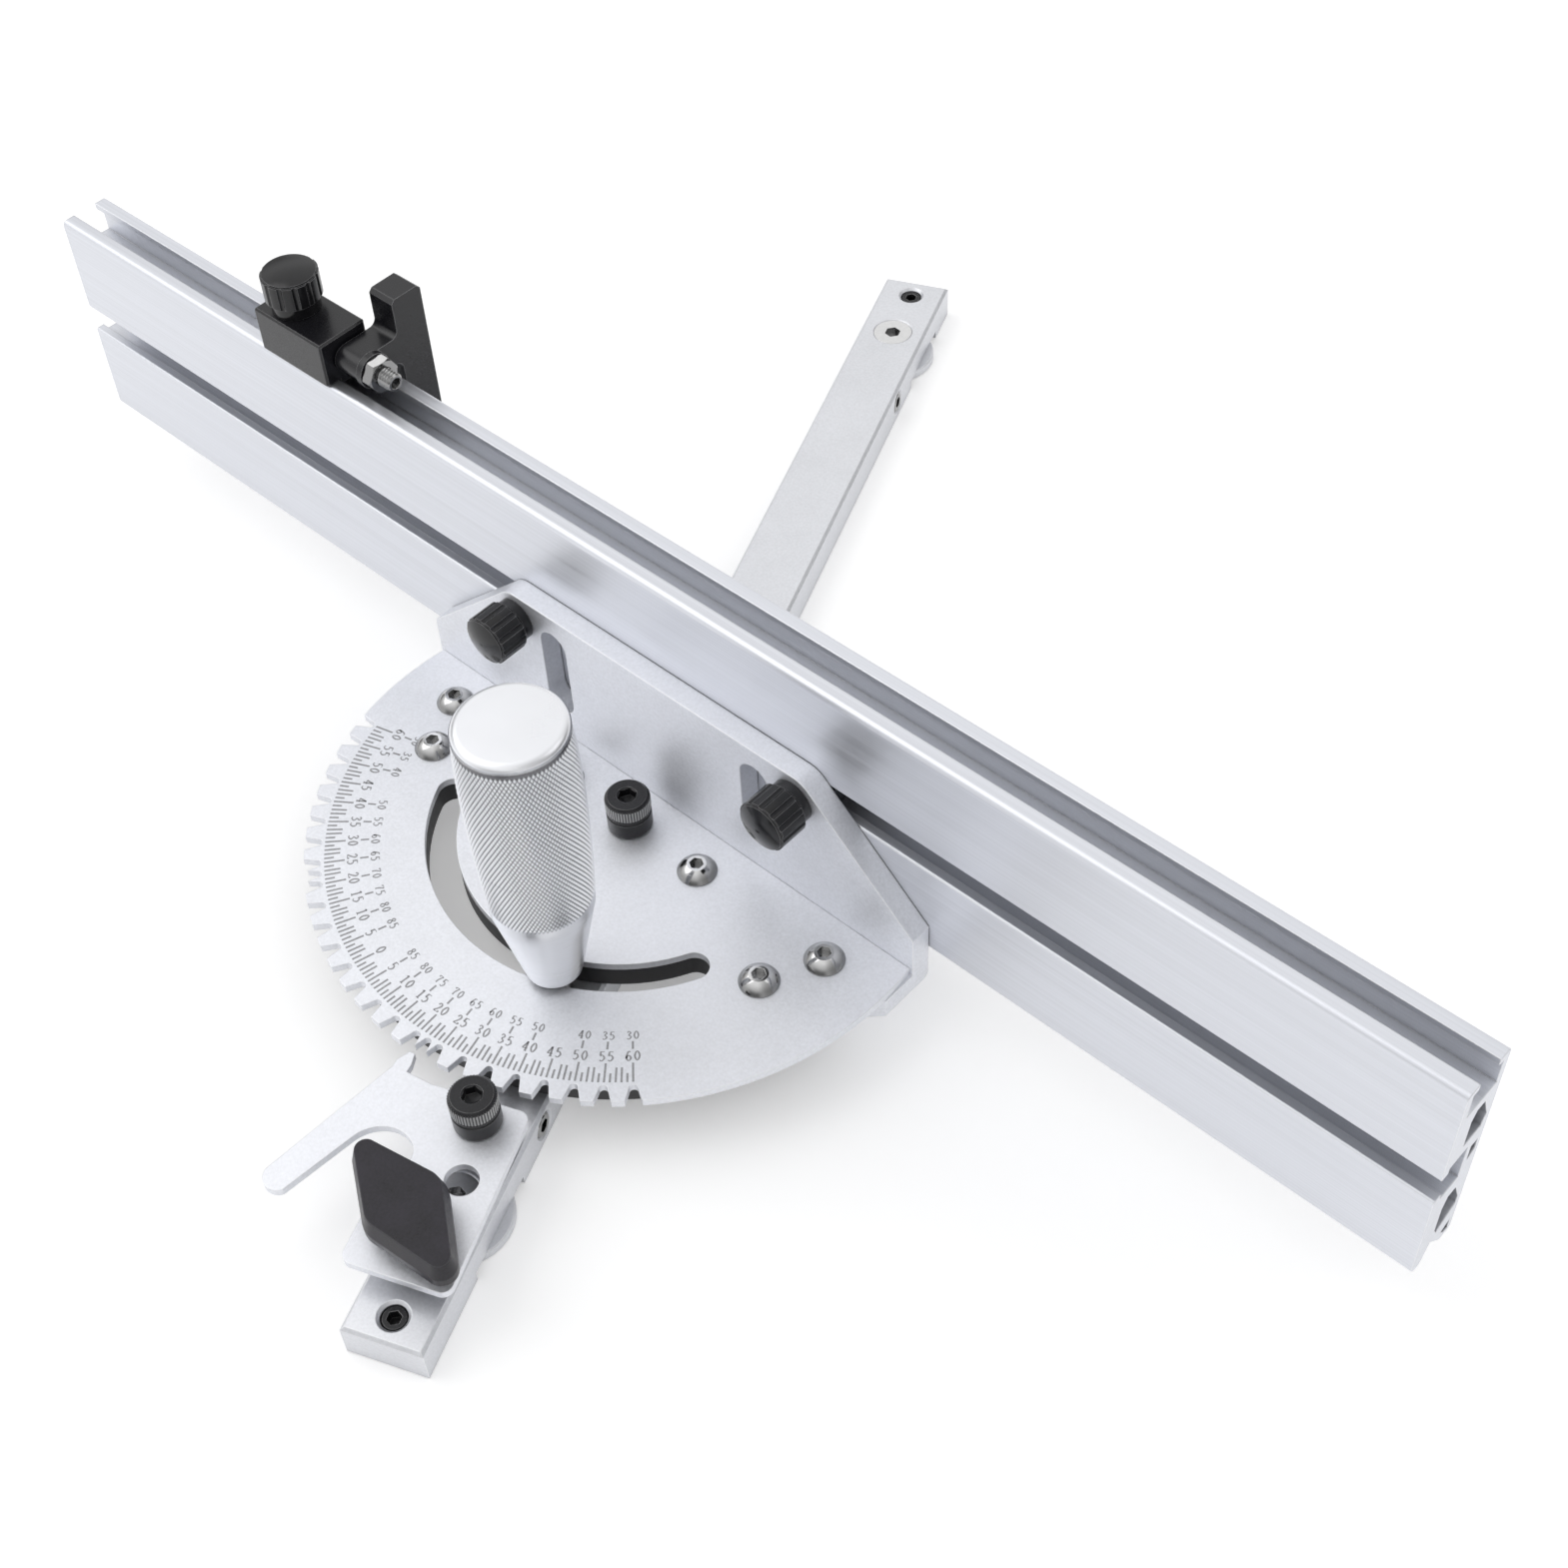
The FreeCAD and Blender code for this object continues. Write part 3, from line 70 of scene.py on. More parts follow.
def placeCamera(setup):
    data = bpy.data.cameras.new("photoCamera")
    pixels = setup["imagePixels"]
    data.sensor_width = setup["sensor"]
    data.lens = setup["focalPixels"] / pixels * setup["sensor"]
    data.shift_x = 0.5 - setup["axisPixel"][0] / pixels
    data.shift_y = setup["axisPixel"][1] / pixels - 0.5
    back = -Vector(setup["ahead"]).normalized()
    right = Vector(setup["right"])
    right = (right - back * right.dot(back)).normalized()
    up = back.cross(right)
    camera = bpy.data.objects.new("photoCamera", data)
    turn = Matrix((right, up, back)).transposed().to_4x4()
    camera.matrix_world = Matrix.Translation(setup["place"]) @ turn
    bpy.context.scene.collection.objects.link(camera)
    bpy.context.scene.camera = camera


lamps = {
    "keySoftbox": {"place": (-0.9, -0.5, 1.3), "size": 1.3, "power": 5.5},
    "fillSoftbox": {"place": (0.9, 0.9, 1.2), "size": 1.0, "power": 2.0},
}


# Square lamps that face the origin.
def placeLamps(setups):
    for name, setup in setups.items():
        data = bpy.data.lights.new(name, "AREA")
        data.shape = "SQUARE"
        data.size = setup["size"]
        data.energy = setup["power"]
        lamp = bpy.data.objects.new(name, data)
        lamp.location = setup["place"]
        lamp.rotation_euler = (-Vector(setup["place"])).to_track_quat("-Z", "Y").to_euler()
        bpy.context.scene.collection.objects.link(lamp)


# A shader node with its settings, and its unlinked sockets given by name or number.
def addNode(tree, kind, **values):
    node = tree.nodes.new(kind)
    sockets = values.pop("sockets", {})
    for name, value in values.items():
        setattr(node, name, value)
    for name, value in sockets.items():
        node.inputs[name].default_value = value
    return node


def join(tree, start, outlet, end, inlet):
    tree.links.new(start.outputs[outlet], end.inputs[inlet])


# A Map Range node from one span of numbers to another.
def mapRange(tree, span, to=(0.0, 1.0), smooth=False):
    return addNode(tree, "ShaderNodeMapRange", interpolation_type="SMOOTHSTEP" if smooth else "LINEAR",
                   sockets={"From Min": span[0], "From Max": span[1], "To Min": to[0], "To Max": to[1]})


# A Mix node goes by numbers: input 0 is the factor, 2 and 3 its two numbers, 6 and 7 its two colours,
# output 0 the number and 2 the colour. This one lays a fixed colour over another as far as a mask goes.
def layColour(tree, under, colour, mask, factor=1.0):
    layer = addNode(tree, "ShaderNodeMix", data_type="RGBA", sockets={7: tint(colour, factor)})
    join(tree, *mask, layer, 0)
    join(tree, *under, layer, 6)
    return layer, 2


def tint(colour, factor):
    return (*[min(part * factor, 1.0) for part in colour], 1.0)


# 1 for rays from the camera, a reflection or a refraction, and 0 for the rays that light things.
def seenDirectly(tree):
    path = addNode(tree, "ShaderNodeLightPath")
    both = addNode(tree, "ShaderNodeMath", operation="MAXIMUM")
    join(tree, path, "Is Camera Ray", both, 0)
    join(tree, path, "Is Glossy Ray", both, 1)
    every = addNode(tree, "ShaderNodeMath", operation="MAXIMUM")
    join(tree, both, 0, every, 0)
    join(tree, path, "Is Transmission Ray", every, 1)
    return every


studio = {
    "white": (1.0, 1.0, 1.0, 1.0),
    "light": 0.78,              # strength of the even light from all round
    "above": 1.05,              # level that reflections see overhead
    "bandDark": 0.3,            # level of the darker strips that they see near the horizon
    "bandCount": 3.0,
    "bandTurn": 0.6,            # where round the horizon they stand, radians
    "bandSoft": 0.6,            # cosine at which a strip has its full level
    "bandTop": (0.15, 0.55),    # heights of direction between which the strips fade out
    "darkSide": (0.85, 0.4, 0.35),
    "darkSpan": (0.3, 0.95),    # likeness to that direction at which the dark starts and is full
    "darkLevel": 0.5,           # how much of the light is left there
    "floorColour": (0.9, 0.9, 0.902, 1.0),
    "floorRoughness": 0.9,
    "floorLift": 0.27,          # glow that only the camera and reflections see
    "floorLevel": -0.0002,
    "floorHalf": 4.0,
}


# Reflections see a white ceiling, and white and dark strips by turns round the horizon, so that metal
# shows its form: a cosine of the direction's angle, blended out with its height. One side is darker.
def makeSky(setup):
    world = bpy.data.worlds.new("studio")
    bpy.context.scene.world = world
    world.use_nodes = True
    tree = world.node_tree
    tree.nodes.clear()
    out = addNode(tree, "ShaderNodeOutputWorld")
    back = addNode(tree, "ShaderNodeBackground", sockets={"Color": setup["white"]})
    join(tree, back, 0, out, 0)
    way = addNode(tree, "ShaderNodeTexCoord")
    parts = addNode(tree, "ShaderNodeSeparateXYZ")
    join(tree, way, "Generated", parts, 0)
    angle = addNode(tree, "ShaderNodeMath", operation="ARCTAN2")
    join(tree, parts, "Y", angle, 0)
    join(tree, parts, "X", angle, 1)
    turns = addNode(tree, "ShaderNodeMath", operation="MULTIPLY_ADD",
                    sockets={1: setup["bandCount"], 2: setup["bandTurn"]})
    join(tree, angle, 0, turns, 0)
    cycle = addNode(tree, "ShaderNodeMath", operation="COSINE")
    join(tree, turns, 0, cycle, 0)
    soft = setup["bandSoft"]
    bands = mapRange(tree, (-soft, soft), (setup["bandDark"], 1.0))
    join(tree, cycle, 0, bands, "Value")
    rise = mapRange(tree, setup["bandTop"], smooth=True)
    join(tree, parts, "Z", rise, "Value")
    level = addNode(tree, "ShaderNodeMix", sockets={3: setup["above"]})
    join(tree, rise, 0, level, 0)
    join(tree, bands, 0, level, 2)
    facing = addNode(tree, "ShaderNodeVectorMath", operation="DOT_PRODUCT",
                     sockets={1: Vector(setup["darkSide"]).normalized()})
    join(tree, way, "Generated", facing, 0)
    side = mapRange(tree, setup["darkSpan"], (1.0, setup["darkLevel"]), smooth=True)
    join(tree, facing, "Value", side, "Value")
    shaded = addNode(tree, "ShaderNodeMath", operation="MULTIPLY")
    join(tree, level, 0, shaded, 0)
    join(tree, side, 0, shaded, 1)
    reflected = addNode(tree, "ShaderNodeMix", sockets={2: setup["light"]})
    join(tree, seenDirectly(tree), 0, reflected, 0)
    join(tree, shaded, 0, reflected, 3)
    # The camera itself sees plain white behind the floor.
    path = addNode(tree, "ShaderNodeLightPath")
    strength = addNode(tree, "ShaderNodeMix", sockets={3: 1.0})
    join(tree, path, "Is Camera Ray", strength, 0)
    join(tree, reflected, 0, strength, 2)
    join(tree, strength, 0, back, "Strength")


def makeFloor(setup):
    half, level = setup["floorHalf"], setup["floorLevel"]
    corners = np.array([[[x, y, level] for x in (-half, half)] for y in (-half, half)])
    floor = meshObject("floor", corners, gridFaces(2, 2, False).tolist())
    paint = bpy.data.materials.new("floorPaint")
    paint.use_nodes = True
    tree = paint.node_tree
    shader = tree.nodes["Principled BSDF"]
    shader.inputs["Base Color"].default_value = setup["floorColour"]
    shader.inputs["Roughness"].default_value = setup["floorRoughness"]
    shader.inputs["Specular IOR Level"].default_value = 0.0
    shader.inputs["Emission Color"].default_value = setup["white"]
    lift = addNode(tree, "ShaderNodeMath", operation="MULTIPLY", sockets={1: setup["floorLift"]})
    join(tree, seenDirectly(tree), 0, lift, 0)
    join(tree, lift, 0, shader, "Emission Strength")
    floor.data.materials.append(paint)


# Edges sharper than the crease angle, in degrees, stay sharp.
def meshObject(name, points, faces, smooth=True, crease=40):
    mesh = bpy.data.meshes.new(name)
    mesh.from_pydata(np.asarray(points, float).reshape(-1, 3).tolist(), [], faces)
    mesh.polygons.foreach_set("use_smooth", np.full(len(mesh.polygons), smooth))
    if smooth:
        mesh.set_sharp_from_angle(angle=math.radians(crease))
    mesh.validate()
    made = bpy.data.objects.new(name, mesh)
    bpy.context.scene.collection.objects.link(made)
    return made


# Quads of a grid of rows by columns, numbered row by row; closed joins the last column to the first.
def gridFaces(rows, columns, closed):
    i, j = np.meshgrid(np.arange(columns if closed else columns - 1), np.arange(rows - 1))
    following = (i + 1) % columns
    quads = np.stack([j * columns + i, j * columns + following,
                      (j + 1) * columns + following, (j + 1) * columns + i], axis=-1)
    return quads.reshape(-1, 4)


# A closed surface about an axis. radius and height are arrays of rings by columns: the point at
# ring j and column i lies at that radius, at the angle of a whole turn times i / columns, and at that
# height. A fan closes each end. Rings that rise give faces that point outwards. diagonals marks the
# rings from which each quad is split in two along the corners whose i + j is even.
def turnedObject(name, radius, height, matrix, diagonals=None, **options):
    radius, height = np.broadcast_arrays(radius, height)
    rings, columns = radius.shape
    angle = np.arange(columns) * (2 * math.pi / columns)
    points = np.stack([radius * np.cos(angle), radius * np.sin(angle), height], axis=-1).reshape(-1, 3)
    ends = np.array([[0, 0, height[0, 0]], [0, 0, height[-1, 0]]])
    points = np.concatenate([points, ends])
    quads = gridFaces(rings, columns, True)
    faces = []
    if diagonals is None:
        faces += quads.tolist()
    else:
        split = np.repeat(np.asarray(diagonals)[:-1], columns)
        faces += quads[~split].tolist()
        j, i = np.divmod(quads[split][:, 0], columns)
        even = (i + j) % 2 == 0
        cut = quads[split]
        faces += cut[even][:, [0, 1, 2]].tolist() + cut[even][:, [0, 2, 3]].tolist()
        faces += cut[~even][:, [1, 2, 3]].tolist() + cut[~even][:, [1, 3, 0]].tolist()
    first = np.arange(columns)
    following = (first + 1) % columns
    start, stop = rings * columns, rings * columns + 1
    last = (rings - 1) * columns
    faces += np.stack([following, first, np.full(columns, start)], axis=-1).tolist()
    faces += np.stack([first + last, following + last, np.full(columns, stop)], axis=-1).tolist()
    points = points @ np.array(matrix.to_3x3()).T + np.array(matrix.translation)
    return meshObject(name, points, faces, **options)


# Keeps a number for each point of a turned piece, ring by ring, which its finish paints as shade in the
# grooves of the handle and stud, and as highlight on the screws' knurl ridges.
def markPoints(piece, rings):
    marks = piece.data.attributes.new("mark", "FLOAT", "POINT")
    marks.data.foreach_set("value", np.concatenate([rings.ravel(), [0.0, 0.0]]).astype(np.float32))


# A zigzag: 0 at whole numbers, 1 half way between them, straight in between.
def wave(turns):
    return 1 - np.abs(2 * (turns - np.floor(turns)) - 1)


# Distance from the centre to a hexagon, column by column: half its size across the flats, divided by the
# cosine of the angle from the middle of the nearest flat.
def hexagonRadius(flats, columns):
    angle = np.arange(columns) * (2 * math.pi / columns)
    return flats / 2 / np.cos(angle % (math.pi / 3) - math.pi / 6)


# Rings from a list of (radius, height); a radius may be an array with a value for each column.
def stackRings(rows, columns):
    radius = np.array([np.broadcast_to(r, columns) for r, _ in rows])
    height = np.array([np.full(columns, float(z)) for _, z in rows])
    return radius, height


# Sockets are given as names with their kinds, Float or Vector.
def makeGroup(name, inlets, outlets):
    group = bpy.data.node_groups.new(name, "ShaderNodeTree")
    for way, sockets in (("INPUT", inlets), ("OUTPUT", outlets)):
        for label, kind in sockets.items():
            group.interface.new_socket(name=label, in_out=way, socket_type="NodeSocket" + kind)
    return group, addNode(group, "NodeGroupInput"), addNode(group, "NodeGroupOutput")


# Fine blasted grain, two sizes of noise: Height is for the bump, Shade for colour and gloss.
def makeGrain():
    group, start, end = makeGroup(
        "blastedGrain", {"Vector": "Vector", "Fine": "Float", "Coarse": "Float", "Mix": "Float"},
        {"Height": "Float", "Shade": "Float"})
    fine = addNode(group, "ShaderNodeTexNoise", sockets={"Detail": 2.0, "Roughness": 0.65})
    coarse = addNode(group, "ShaderNodeTexNoise", sockets={"Detail": 3.0, "Roughness": 0.55})
    blend = addNode(group, "ShaderNodeMix")
    join(group, start, "Vector", fine, "Vector")
    join(group, start, "Vector", coarse, "Vector")
    join(group, start, "Fine", fine, "Scale")
    join(group, start, "Coarse", coarse, "Scale")
    join(group, start, "Mix", blend, 0)
    join(group, fine, 0, blend, 2)
    join(group, coarse, 0, blend, 3)
    join(group, fine, 0, end, "Height")
    join(group, blend, 0, end, "Shade")
    return group


# Drawn or turned lines: noise stretched by Stretch, which is small along the lines.
def makeStreaks():
    group, start, end = makeGroup("drawnStreaks", {"Vector": "Vector", "Stretch": "Vector"},
                                  {"Height": "Float", "Shade": "Float"})
    pulled = addNode(group, "ShaderNodeVectorMath", operation="MULTIPLY")
    fine = addNode(group, "ShaderNodeTexNoise",
                   sockets={"Scale": 1.0, "Detail": 3.0, "Roughness": 0.7})
    wide = addNode(group, "ShaderNodeTexNoise",
                   sockets={"Scale": 0.11, "Detail": 2.0, "Roughness": 0.6})
    blend = addNode(group, "ShaderNodeMix", sockets={0: 0.3})      # share of the wide lines
    join(group, start, "Vector", pulled, 0)
    join(group, start, "Stretch", pulled, 1)
    join(group, pulled, 0, fine, "Vector")
    join(group, pulled, 0, wide, "Vector")
    join(group, fine, 0, blend, 2)
    join(group, wide, 0, blend, 3)
    join(group, fine, 0, end, "Height")
    join(group, blend, 0, end, "Shade")
    return group


# Edges: Normal rounds them within Radius, and Mask is 1 along them and 0 on the flats.
def makeEdges():
    group, start, end = makeGroup("brokenEdges", {"Radius": "Float"},
                                  {"Normal": "Vector", "Mask": "Float"})
    rounded = addNode(group, "ShaderNodeBevel", samples=6)
    flat = addNode(group, "ShaderNodeNewGeometry")
    likeness = addNode(group, "ShaderNodeVectorMath", operation="DOT_PRODUCT")
    mask = mapRange(group, (0.985, 0.8))        # cosines between the rounded and the flat normal
    join(group, start, "Radius", rounded, "Radius")
    join(group, rounded, 0, likeness, 0)
    join(group, flat, "Normal", likeness, 1)
    join(group, likeness, "Value", mask, "Value")
    join(group, rounded, 0, end, "Normal")
    join(group, mask, 0, end, "Mask")
    return group


# Painted shade in hollows: Mask is 1 deep inside them and 0 on open surfaces, judged within Reach.
def makeCavities():
    group, start, end = makeGroup("cavityShade", {"Reach": "Float"}, {"Mask": "Float"})
    openness = addNode(group, "ShaderNodeAmbientOcclusion", samples=6)
    mask = mapRange(group, (0.62, 0.22))        # shares of open sky at the rim and deep inside
    join(group, start, "Reach", openness, "Distance")
    join(group, openness, "AO", mask, "Value")
    join(group, mask, 0, end, "Mask")
    return group


grainGroup = makeGrain()
streakGroup = makeStreaks()
edgeGroup = makeEdges()
cavityShadeGroup = makeCavities()

silver = (0.8, 0.812, 0.85)
# Colour of the painted highlight along the silver parts' edges.
brightEdge = (0.98, 0.98, 0.99)

# What a finish has where its own entry below says nothing.
finishDefaults = {
    "metallic": 0.0,
    "specular": 0.5,
    "fine": 1600.0,             # scales of the grain, and how far the coarse one shows
    "coarse": 60.0,
    "mix": 0.35,
    "spread": 0.08,             # how far the pattern darkens and lightens the colour
    "shadeSpan": (0.32, 0.68),  # pattern values of the darkest and lightest shade
    "glossSpan": (0.3, 0.7),    # pattern values of the two roughnesses
    "bump": 0.2,
    "relief": 0.02,             # mm
    "edge": 0.25,               # radius of the edges, mm
    "roundEdges": True,
    "edgeHighlight": 0.5,                # how far edgeColour, a painted highlight, shows along the edges
    "steepSpan": (0.93, 0.6),   # upward parts of the normal between which the painted shade on steep flanks sets in
    "cavityShade": [],             # painted shade in hollows: level of the colour deep inside, and reach, mm
}

# Slots of the record, and the scale's marks. streaks are the drawn lines' stretch, in place of grain.
# edgeColour is a painted highlight along the edges. The colour of a piece's mark, painted shade in
# grooves and painted highlight on knurl ridges, shows where the mark runs from the first to the second
# value of its span.
finishes = {
    "bar_steel": {
        "colour": (0.71, 0.72, 0.75), "metallic": 0.88, "roughness": (0.36, 0.5), "fine": 1500.0,
        "bump": 0.5, "edge": 0.35, "edgeColour": brightEdge, "edgeHighlight": 0.9, "cavityShade": [(0.6, 7.0)]},
    "stainless": {
        "colour": (0.68, 0.68, 0.68), "metallic": 1.0, "roughness": (0.08, 0.15), "fine": 900.0,
        "spread": 0.05, "bump": 0.08, "edge": 0.15, "edgeColour": (0.95, 0.95, 0.95),
        "cavityShade": [(0.35, 2.0)], "steepShadeColour": (0.3, 0.3, 0.3),
        "reliefShadingColour": (0.1, 0.1, 0.1), "reliefShadingSpan": (0.35, 0.9)},
    "black_oxide": {
        "colour": (0.016, 0.016, 0.018), "metallic": 0.35, "roughness": (0.25, 0.42), "fine": 2200.0,
        "spread": 0.4, "bump": 0.45, "edge": 0.22, "edgeColour": (0.5, 0.5, 0.5), "edgeHighlight": 0.9,
        "cavityShade": [(0.25, 2.5)], "reliefShadingColour": (0.42, 0.42, 0.42), "reliefShadingSpan": (0.45, 0.95)},
    "sector_silver": {
        "colour": silver, "metallic": 0.85, "roughness": (0.44, 0.58), "fine": 1500.0,
        "bump": 0.5, "edge": 0.3, "edgeColour": brightEdge, "edgeHighlight": 0.9},
    "bracket_silver": {
        "colour": silver, "metallic": 0.85, "roughness": (0.46, 0.6), "fine": 1500.0, "spread": 0.09,
        "bump": 0.5, "edge": 0.5, "edgeColour": brightEdge, "edgeHighlight": 0.9},
    # The fence gets painted shade deep in its slots, and a thin painted shadow along its contacts with
    # other parts.
    "fence_silver": {
        "colour": (0.71, 0.725, 0.77), "metallic": 0.85, "roughness": (0.3, 0.48),
        "streaks": (6.0, 1900.0, 1900.0), "bump": 0.15, "edge": 0.4, "edgeColour": brightEdge,
        "edgeHighlight": 0.8, "cavityShade": [(0.44, 9.0), (0.1, 1.3)]},
    "handle_silver": {
        "colour": (0.83, 0.84, 0.868), "metallic": 0.92, "roughness": (0.26, 0.34),
        "streaks": (40.0, 40.0, 2600.0), "spread": 0.03, "bump": 0.03, "roundEdges": False,
        "edge": 0.1, "edgeColour": (0.9, 0.9, 0.92), "edgeHighlight": 0.2,
        "reliefShadingColour": (0.16, 0.16, 0.17), "reliefShadingSpan": (0.58, 1.03)},
    "pad_black": {
        "colour": (0.022, 0.022, 0.024), "roughness": (0.45, 0.6), "fine": 1200.0, "spread": 0.2},
    "knob_gloss": {
        "colour": (0.006, 0.006, 0.007), "specular": 0.42, "roughness": (0.1, 0.2), "fine": 500.0,
        "spread": 0.25, "bump": 0.05, "edge": 0.3, "edgeColour": (0.3, 0.3, 0.31), "edgeHighlight": 0.8,
        "cavityShade": [(0.2, 2.0)]},
    "knob_matte": {
        "colour": (0.018, 0.016, 0.022), "specular": 0.36, "roughness": (0.24, 0.5), "fine": 1400.0,
        "coarse": 120.0, "mix": 0.6, "spread": 0.5, "bump": 0.7, "edge": 0.5,
        "edgeColour": (0.12, 0.12, 0.13), "edgeHighlight": 0.8},
    "anodised_black": {
        "colour": (0.008, 0.008, 0.01), "specular": 0.45, "roughness": (0.2, 0.3), "fine": 1800.0,
        "spread": 0.15, "edge": 0.35, "edgeColour": (0.4, 0.4, 0.41), "edgeHighlight": 0.8},
    "scaleMark": {
        "colour": (0.34, 0.34, 0.35), "metallic": 0.4, "roughness": (0.5, 0.65), "fine": 2500.0,
        "spread": 0.25, "roundEdges": False, "edgeHighlight": 0.0},
}


# A finish's pattern gives the base shade, the gloss and the bump. A painted highlight along the edges,
# painted shade and highlight on the marks, painted shade on steep flanks and painted shade in hollows
# then each lay their colour over it.
def makeFinish(name, own):
    setup = {**finishDefaults, "edgeColour": own["colour"], **own}
    colour = setup["colour"]
    material = bpy.data.materials.new(name)
    material.use_nodes = True
    tree = material.node_tree
    shader = tree.nodes["Principled BSDF"]
    shader.inputs["Metallic"].default_value = setup["metallic"]
    shader.inputs["Specular IOR Level"].default_value = setup["specular"]
    coordinates = addNode(tree, "ShaderNodeTexCoord")
    if "streaks" in setup:
        pattern = addNode(tree, "ShaderNodeGroup", node_tree=streakGroup,
                          sockets={"Stretch": setup["streaks"]})
    else:
        pattern = addNode(tree, "ShaderNodeGroup", node_tree=grainGroup,
                          sockets={"Fine": setup["fine"], "Coarse": setup["coarse"],
                                   "Mix": setup["mix"]})
    join(tree, coordinates, "Object", pattern, "Vector")
    shades = addNode(tree, "ShaderNodeValToRGB")
    for stop, place, sign in zip(shades.color_ramp.elements, setup["shadeSpan"], (-1, 1)):
        stop.position = place
        stop.color = tint(colour, 1 + sign * setup["spread"])
    join(tree, pattern, "Shade", shades, 0)
    edges = addNode(tree, "ShaderNodeGroup", node_tree=edgeGroup,
                    sockets={"Radius": setup["edge"] * mm})
    # Painted highlight: the edge colour is laid along the edges as far as the edge mask and its share
    # go.
    edgeHighlight = addNode(tree, "ShaderNodeMath", operation="MULTIPLY", sockets={1: setup["edgeHighlight"]})
    join(tree, edges, "Mask", edgeHighlight, 0)
    paint = layColour(tree, (shades, 0), setup["edgeColour"], (edgeHighlight, 0))
    # Painted shade in grooves and painted highlight on knurl ridges, read from the mark of each point.
    if "reliefShadingColour" in setup:
        marks = addNode(tree, "ShaderNodeAttribute", attribute_name="mark")
        line = mapRange(tree, setup["reliefShadingSpan"], smooth=True)
        join(tree, marks, "Fac", line, "Value")
        paint = layColour(tree, paint, setup["reliefShadingColour"], (line, 0))
    # Painted shade on steep flanks: darker as the normal leans away from upright.
    if "steepShadeColour" in setup:
        slope = addNode(tree, "ShaderNodeSeparateXYZ")
        steep = mapRange(tree, setup["steepSpan"], smooth=True)
        join(tree, coordinates, "Normal", slope, 0)
        join(tree, slope, "Z", steep, "Value")
        paint = layColour(tree, paint, setup["steepShadeColour"], (steep, 0))
    # Painted shade: the colour is darkened in hollows and along contacts, as far as the occlusion mask
    # goes.
    for level, reach in setup["cavityShade"]:
        inside = addNode(tree, "ShaderNodeGroup", node_tree=cavityShadeGroup, sockets={"Reach": reach * mm})
        paint = layColour(tree, paint, colour, (inside, "Mask"), level)
    join(tree, *paint, shader, "Base Color")
    gloss = mapRange(tree, setup["glossSpan"], setup["roughness"])
    join(tree, pattern, "Shade", gloss, "Value")
    join(tree, gloss, 0, shader, "Roughness")
    bump = addNode(tree, "ShaderNodeBump",
                   sockets={"Strength": setup["bump"], "Distance": setup["relief"] * mm})
    join(tree, pattern, "Height", bump, "Height")
    if setup["roundEdges"]:
        join(tree, edges, "Normal", bump, "Normal")
    join(tree, bump, 0, shader, "Normal")
    return material


paints = {name: makeFinish(name, own) for name, own in finishes.items()}
print("finishes:", len(paints))


# Every CAD node gets the finish of its slot in the record.
def paintNodes():
    slots = {part["node"]: part["material_slot"] for part in frame["record"]["subparts"]}
    for name, node in nodes.items():
        node.data.materials.clear()
        node.data.materials.append(paints[slots[name]])
    print("finishes on", len(slots), "nodes")


# Finish, body, slot and replaced node of a new piece.
def settle(piece, body, slot=None, replaces=None):
    piece.data.materials.append(paints[slot or "scaleMark"])
    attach(piece, body)
    if replaces:
        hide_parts(replaces)


scale = {
    "centreAngle": -105.0,      # where the zero mark lies, from the fence's right
    "reach": 60,                # degrees marked each way
    "labelStep": 5,
    "single": (0, 45),          # degrees without a numeral in the second row
    "outer": 72.7,              # radius of the marks' outer ends, mm
    "longInner": 67.8,
    "middleInner": 68.9,
    "shortInner": 70.4,
    "width": 0.48,
    "secondOuter": 64.2,
    "secondInner": 62.2,
    "proud": 0.02,              # how far the marks stand out of the plate
    "sunk": 0.03,
    "numeralBase": 67.3,        # radius of the numerals' feet
    "numeralHeight": 2.6,
    "secondBase": 61.7,
    "secondHeight": 2.2,
    "cellMiddle": 0.27,         # middle of a digit's cell, in heights
    "spacing": 0.72,            # from one digit to the next, in heights
    "thick": 0.17,              # upright and level strokes of the pen, in heights
    "thin": 0.075,
    "contrast": 1.5,            # above 1 the slanting strokes are thinner
}


# Thin boxes along radii. Corner (side, end, level) of each box lies at the angle's unit vector times
# inner or outer, plus the unit vector across it times half the width.
def markBoxes(angles, inner, outer, width, low, high):
    angles = np.radians(np.asarray(angles, float))[:, None]
    inner, outer = np.asarray(inner, float)[:, None], np.asarray(outer, float)[:, None]
    side = np.array([-1, 1, 1, -1, -1, 1, 1, -1]) * width / 2
    far = np.array([0, 0, 1, 1, 0, 0, 1, 1])
    level = np.array([0, 0, 0, 0, 1, 1, 1, 1])
    along = inner + (outer - inner) * far
    x = along * np.cos(angles) - side * np.sin(angles)
    y = along * np.sin(angles) + side * np.cos(angles)
    z = np.broadcast_to(low + (high - low) * level, x.shape)
    points = np.stack([x, y, z], axis=-1).reshape(-1, 3)
    box = np.array([[0, 1, 2, 3], [7, 6, 5, 4], [0, 4, 5, 1], [1, 5, 6, 2], [2, 6, 7, 3], [3, 7, 4, 0]])
    faces = (box[None] + np.arange(len(angles))[:, None, None] * 8).reshape(-1, 4)
    return points, faces


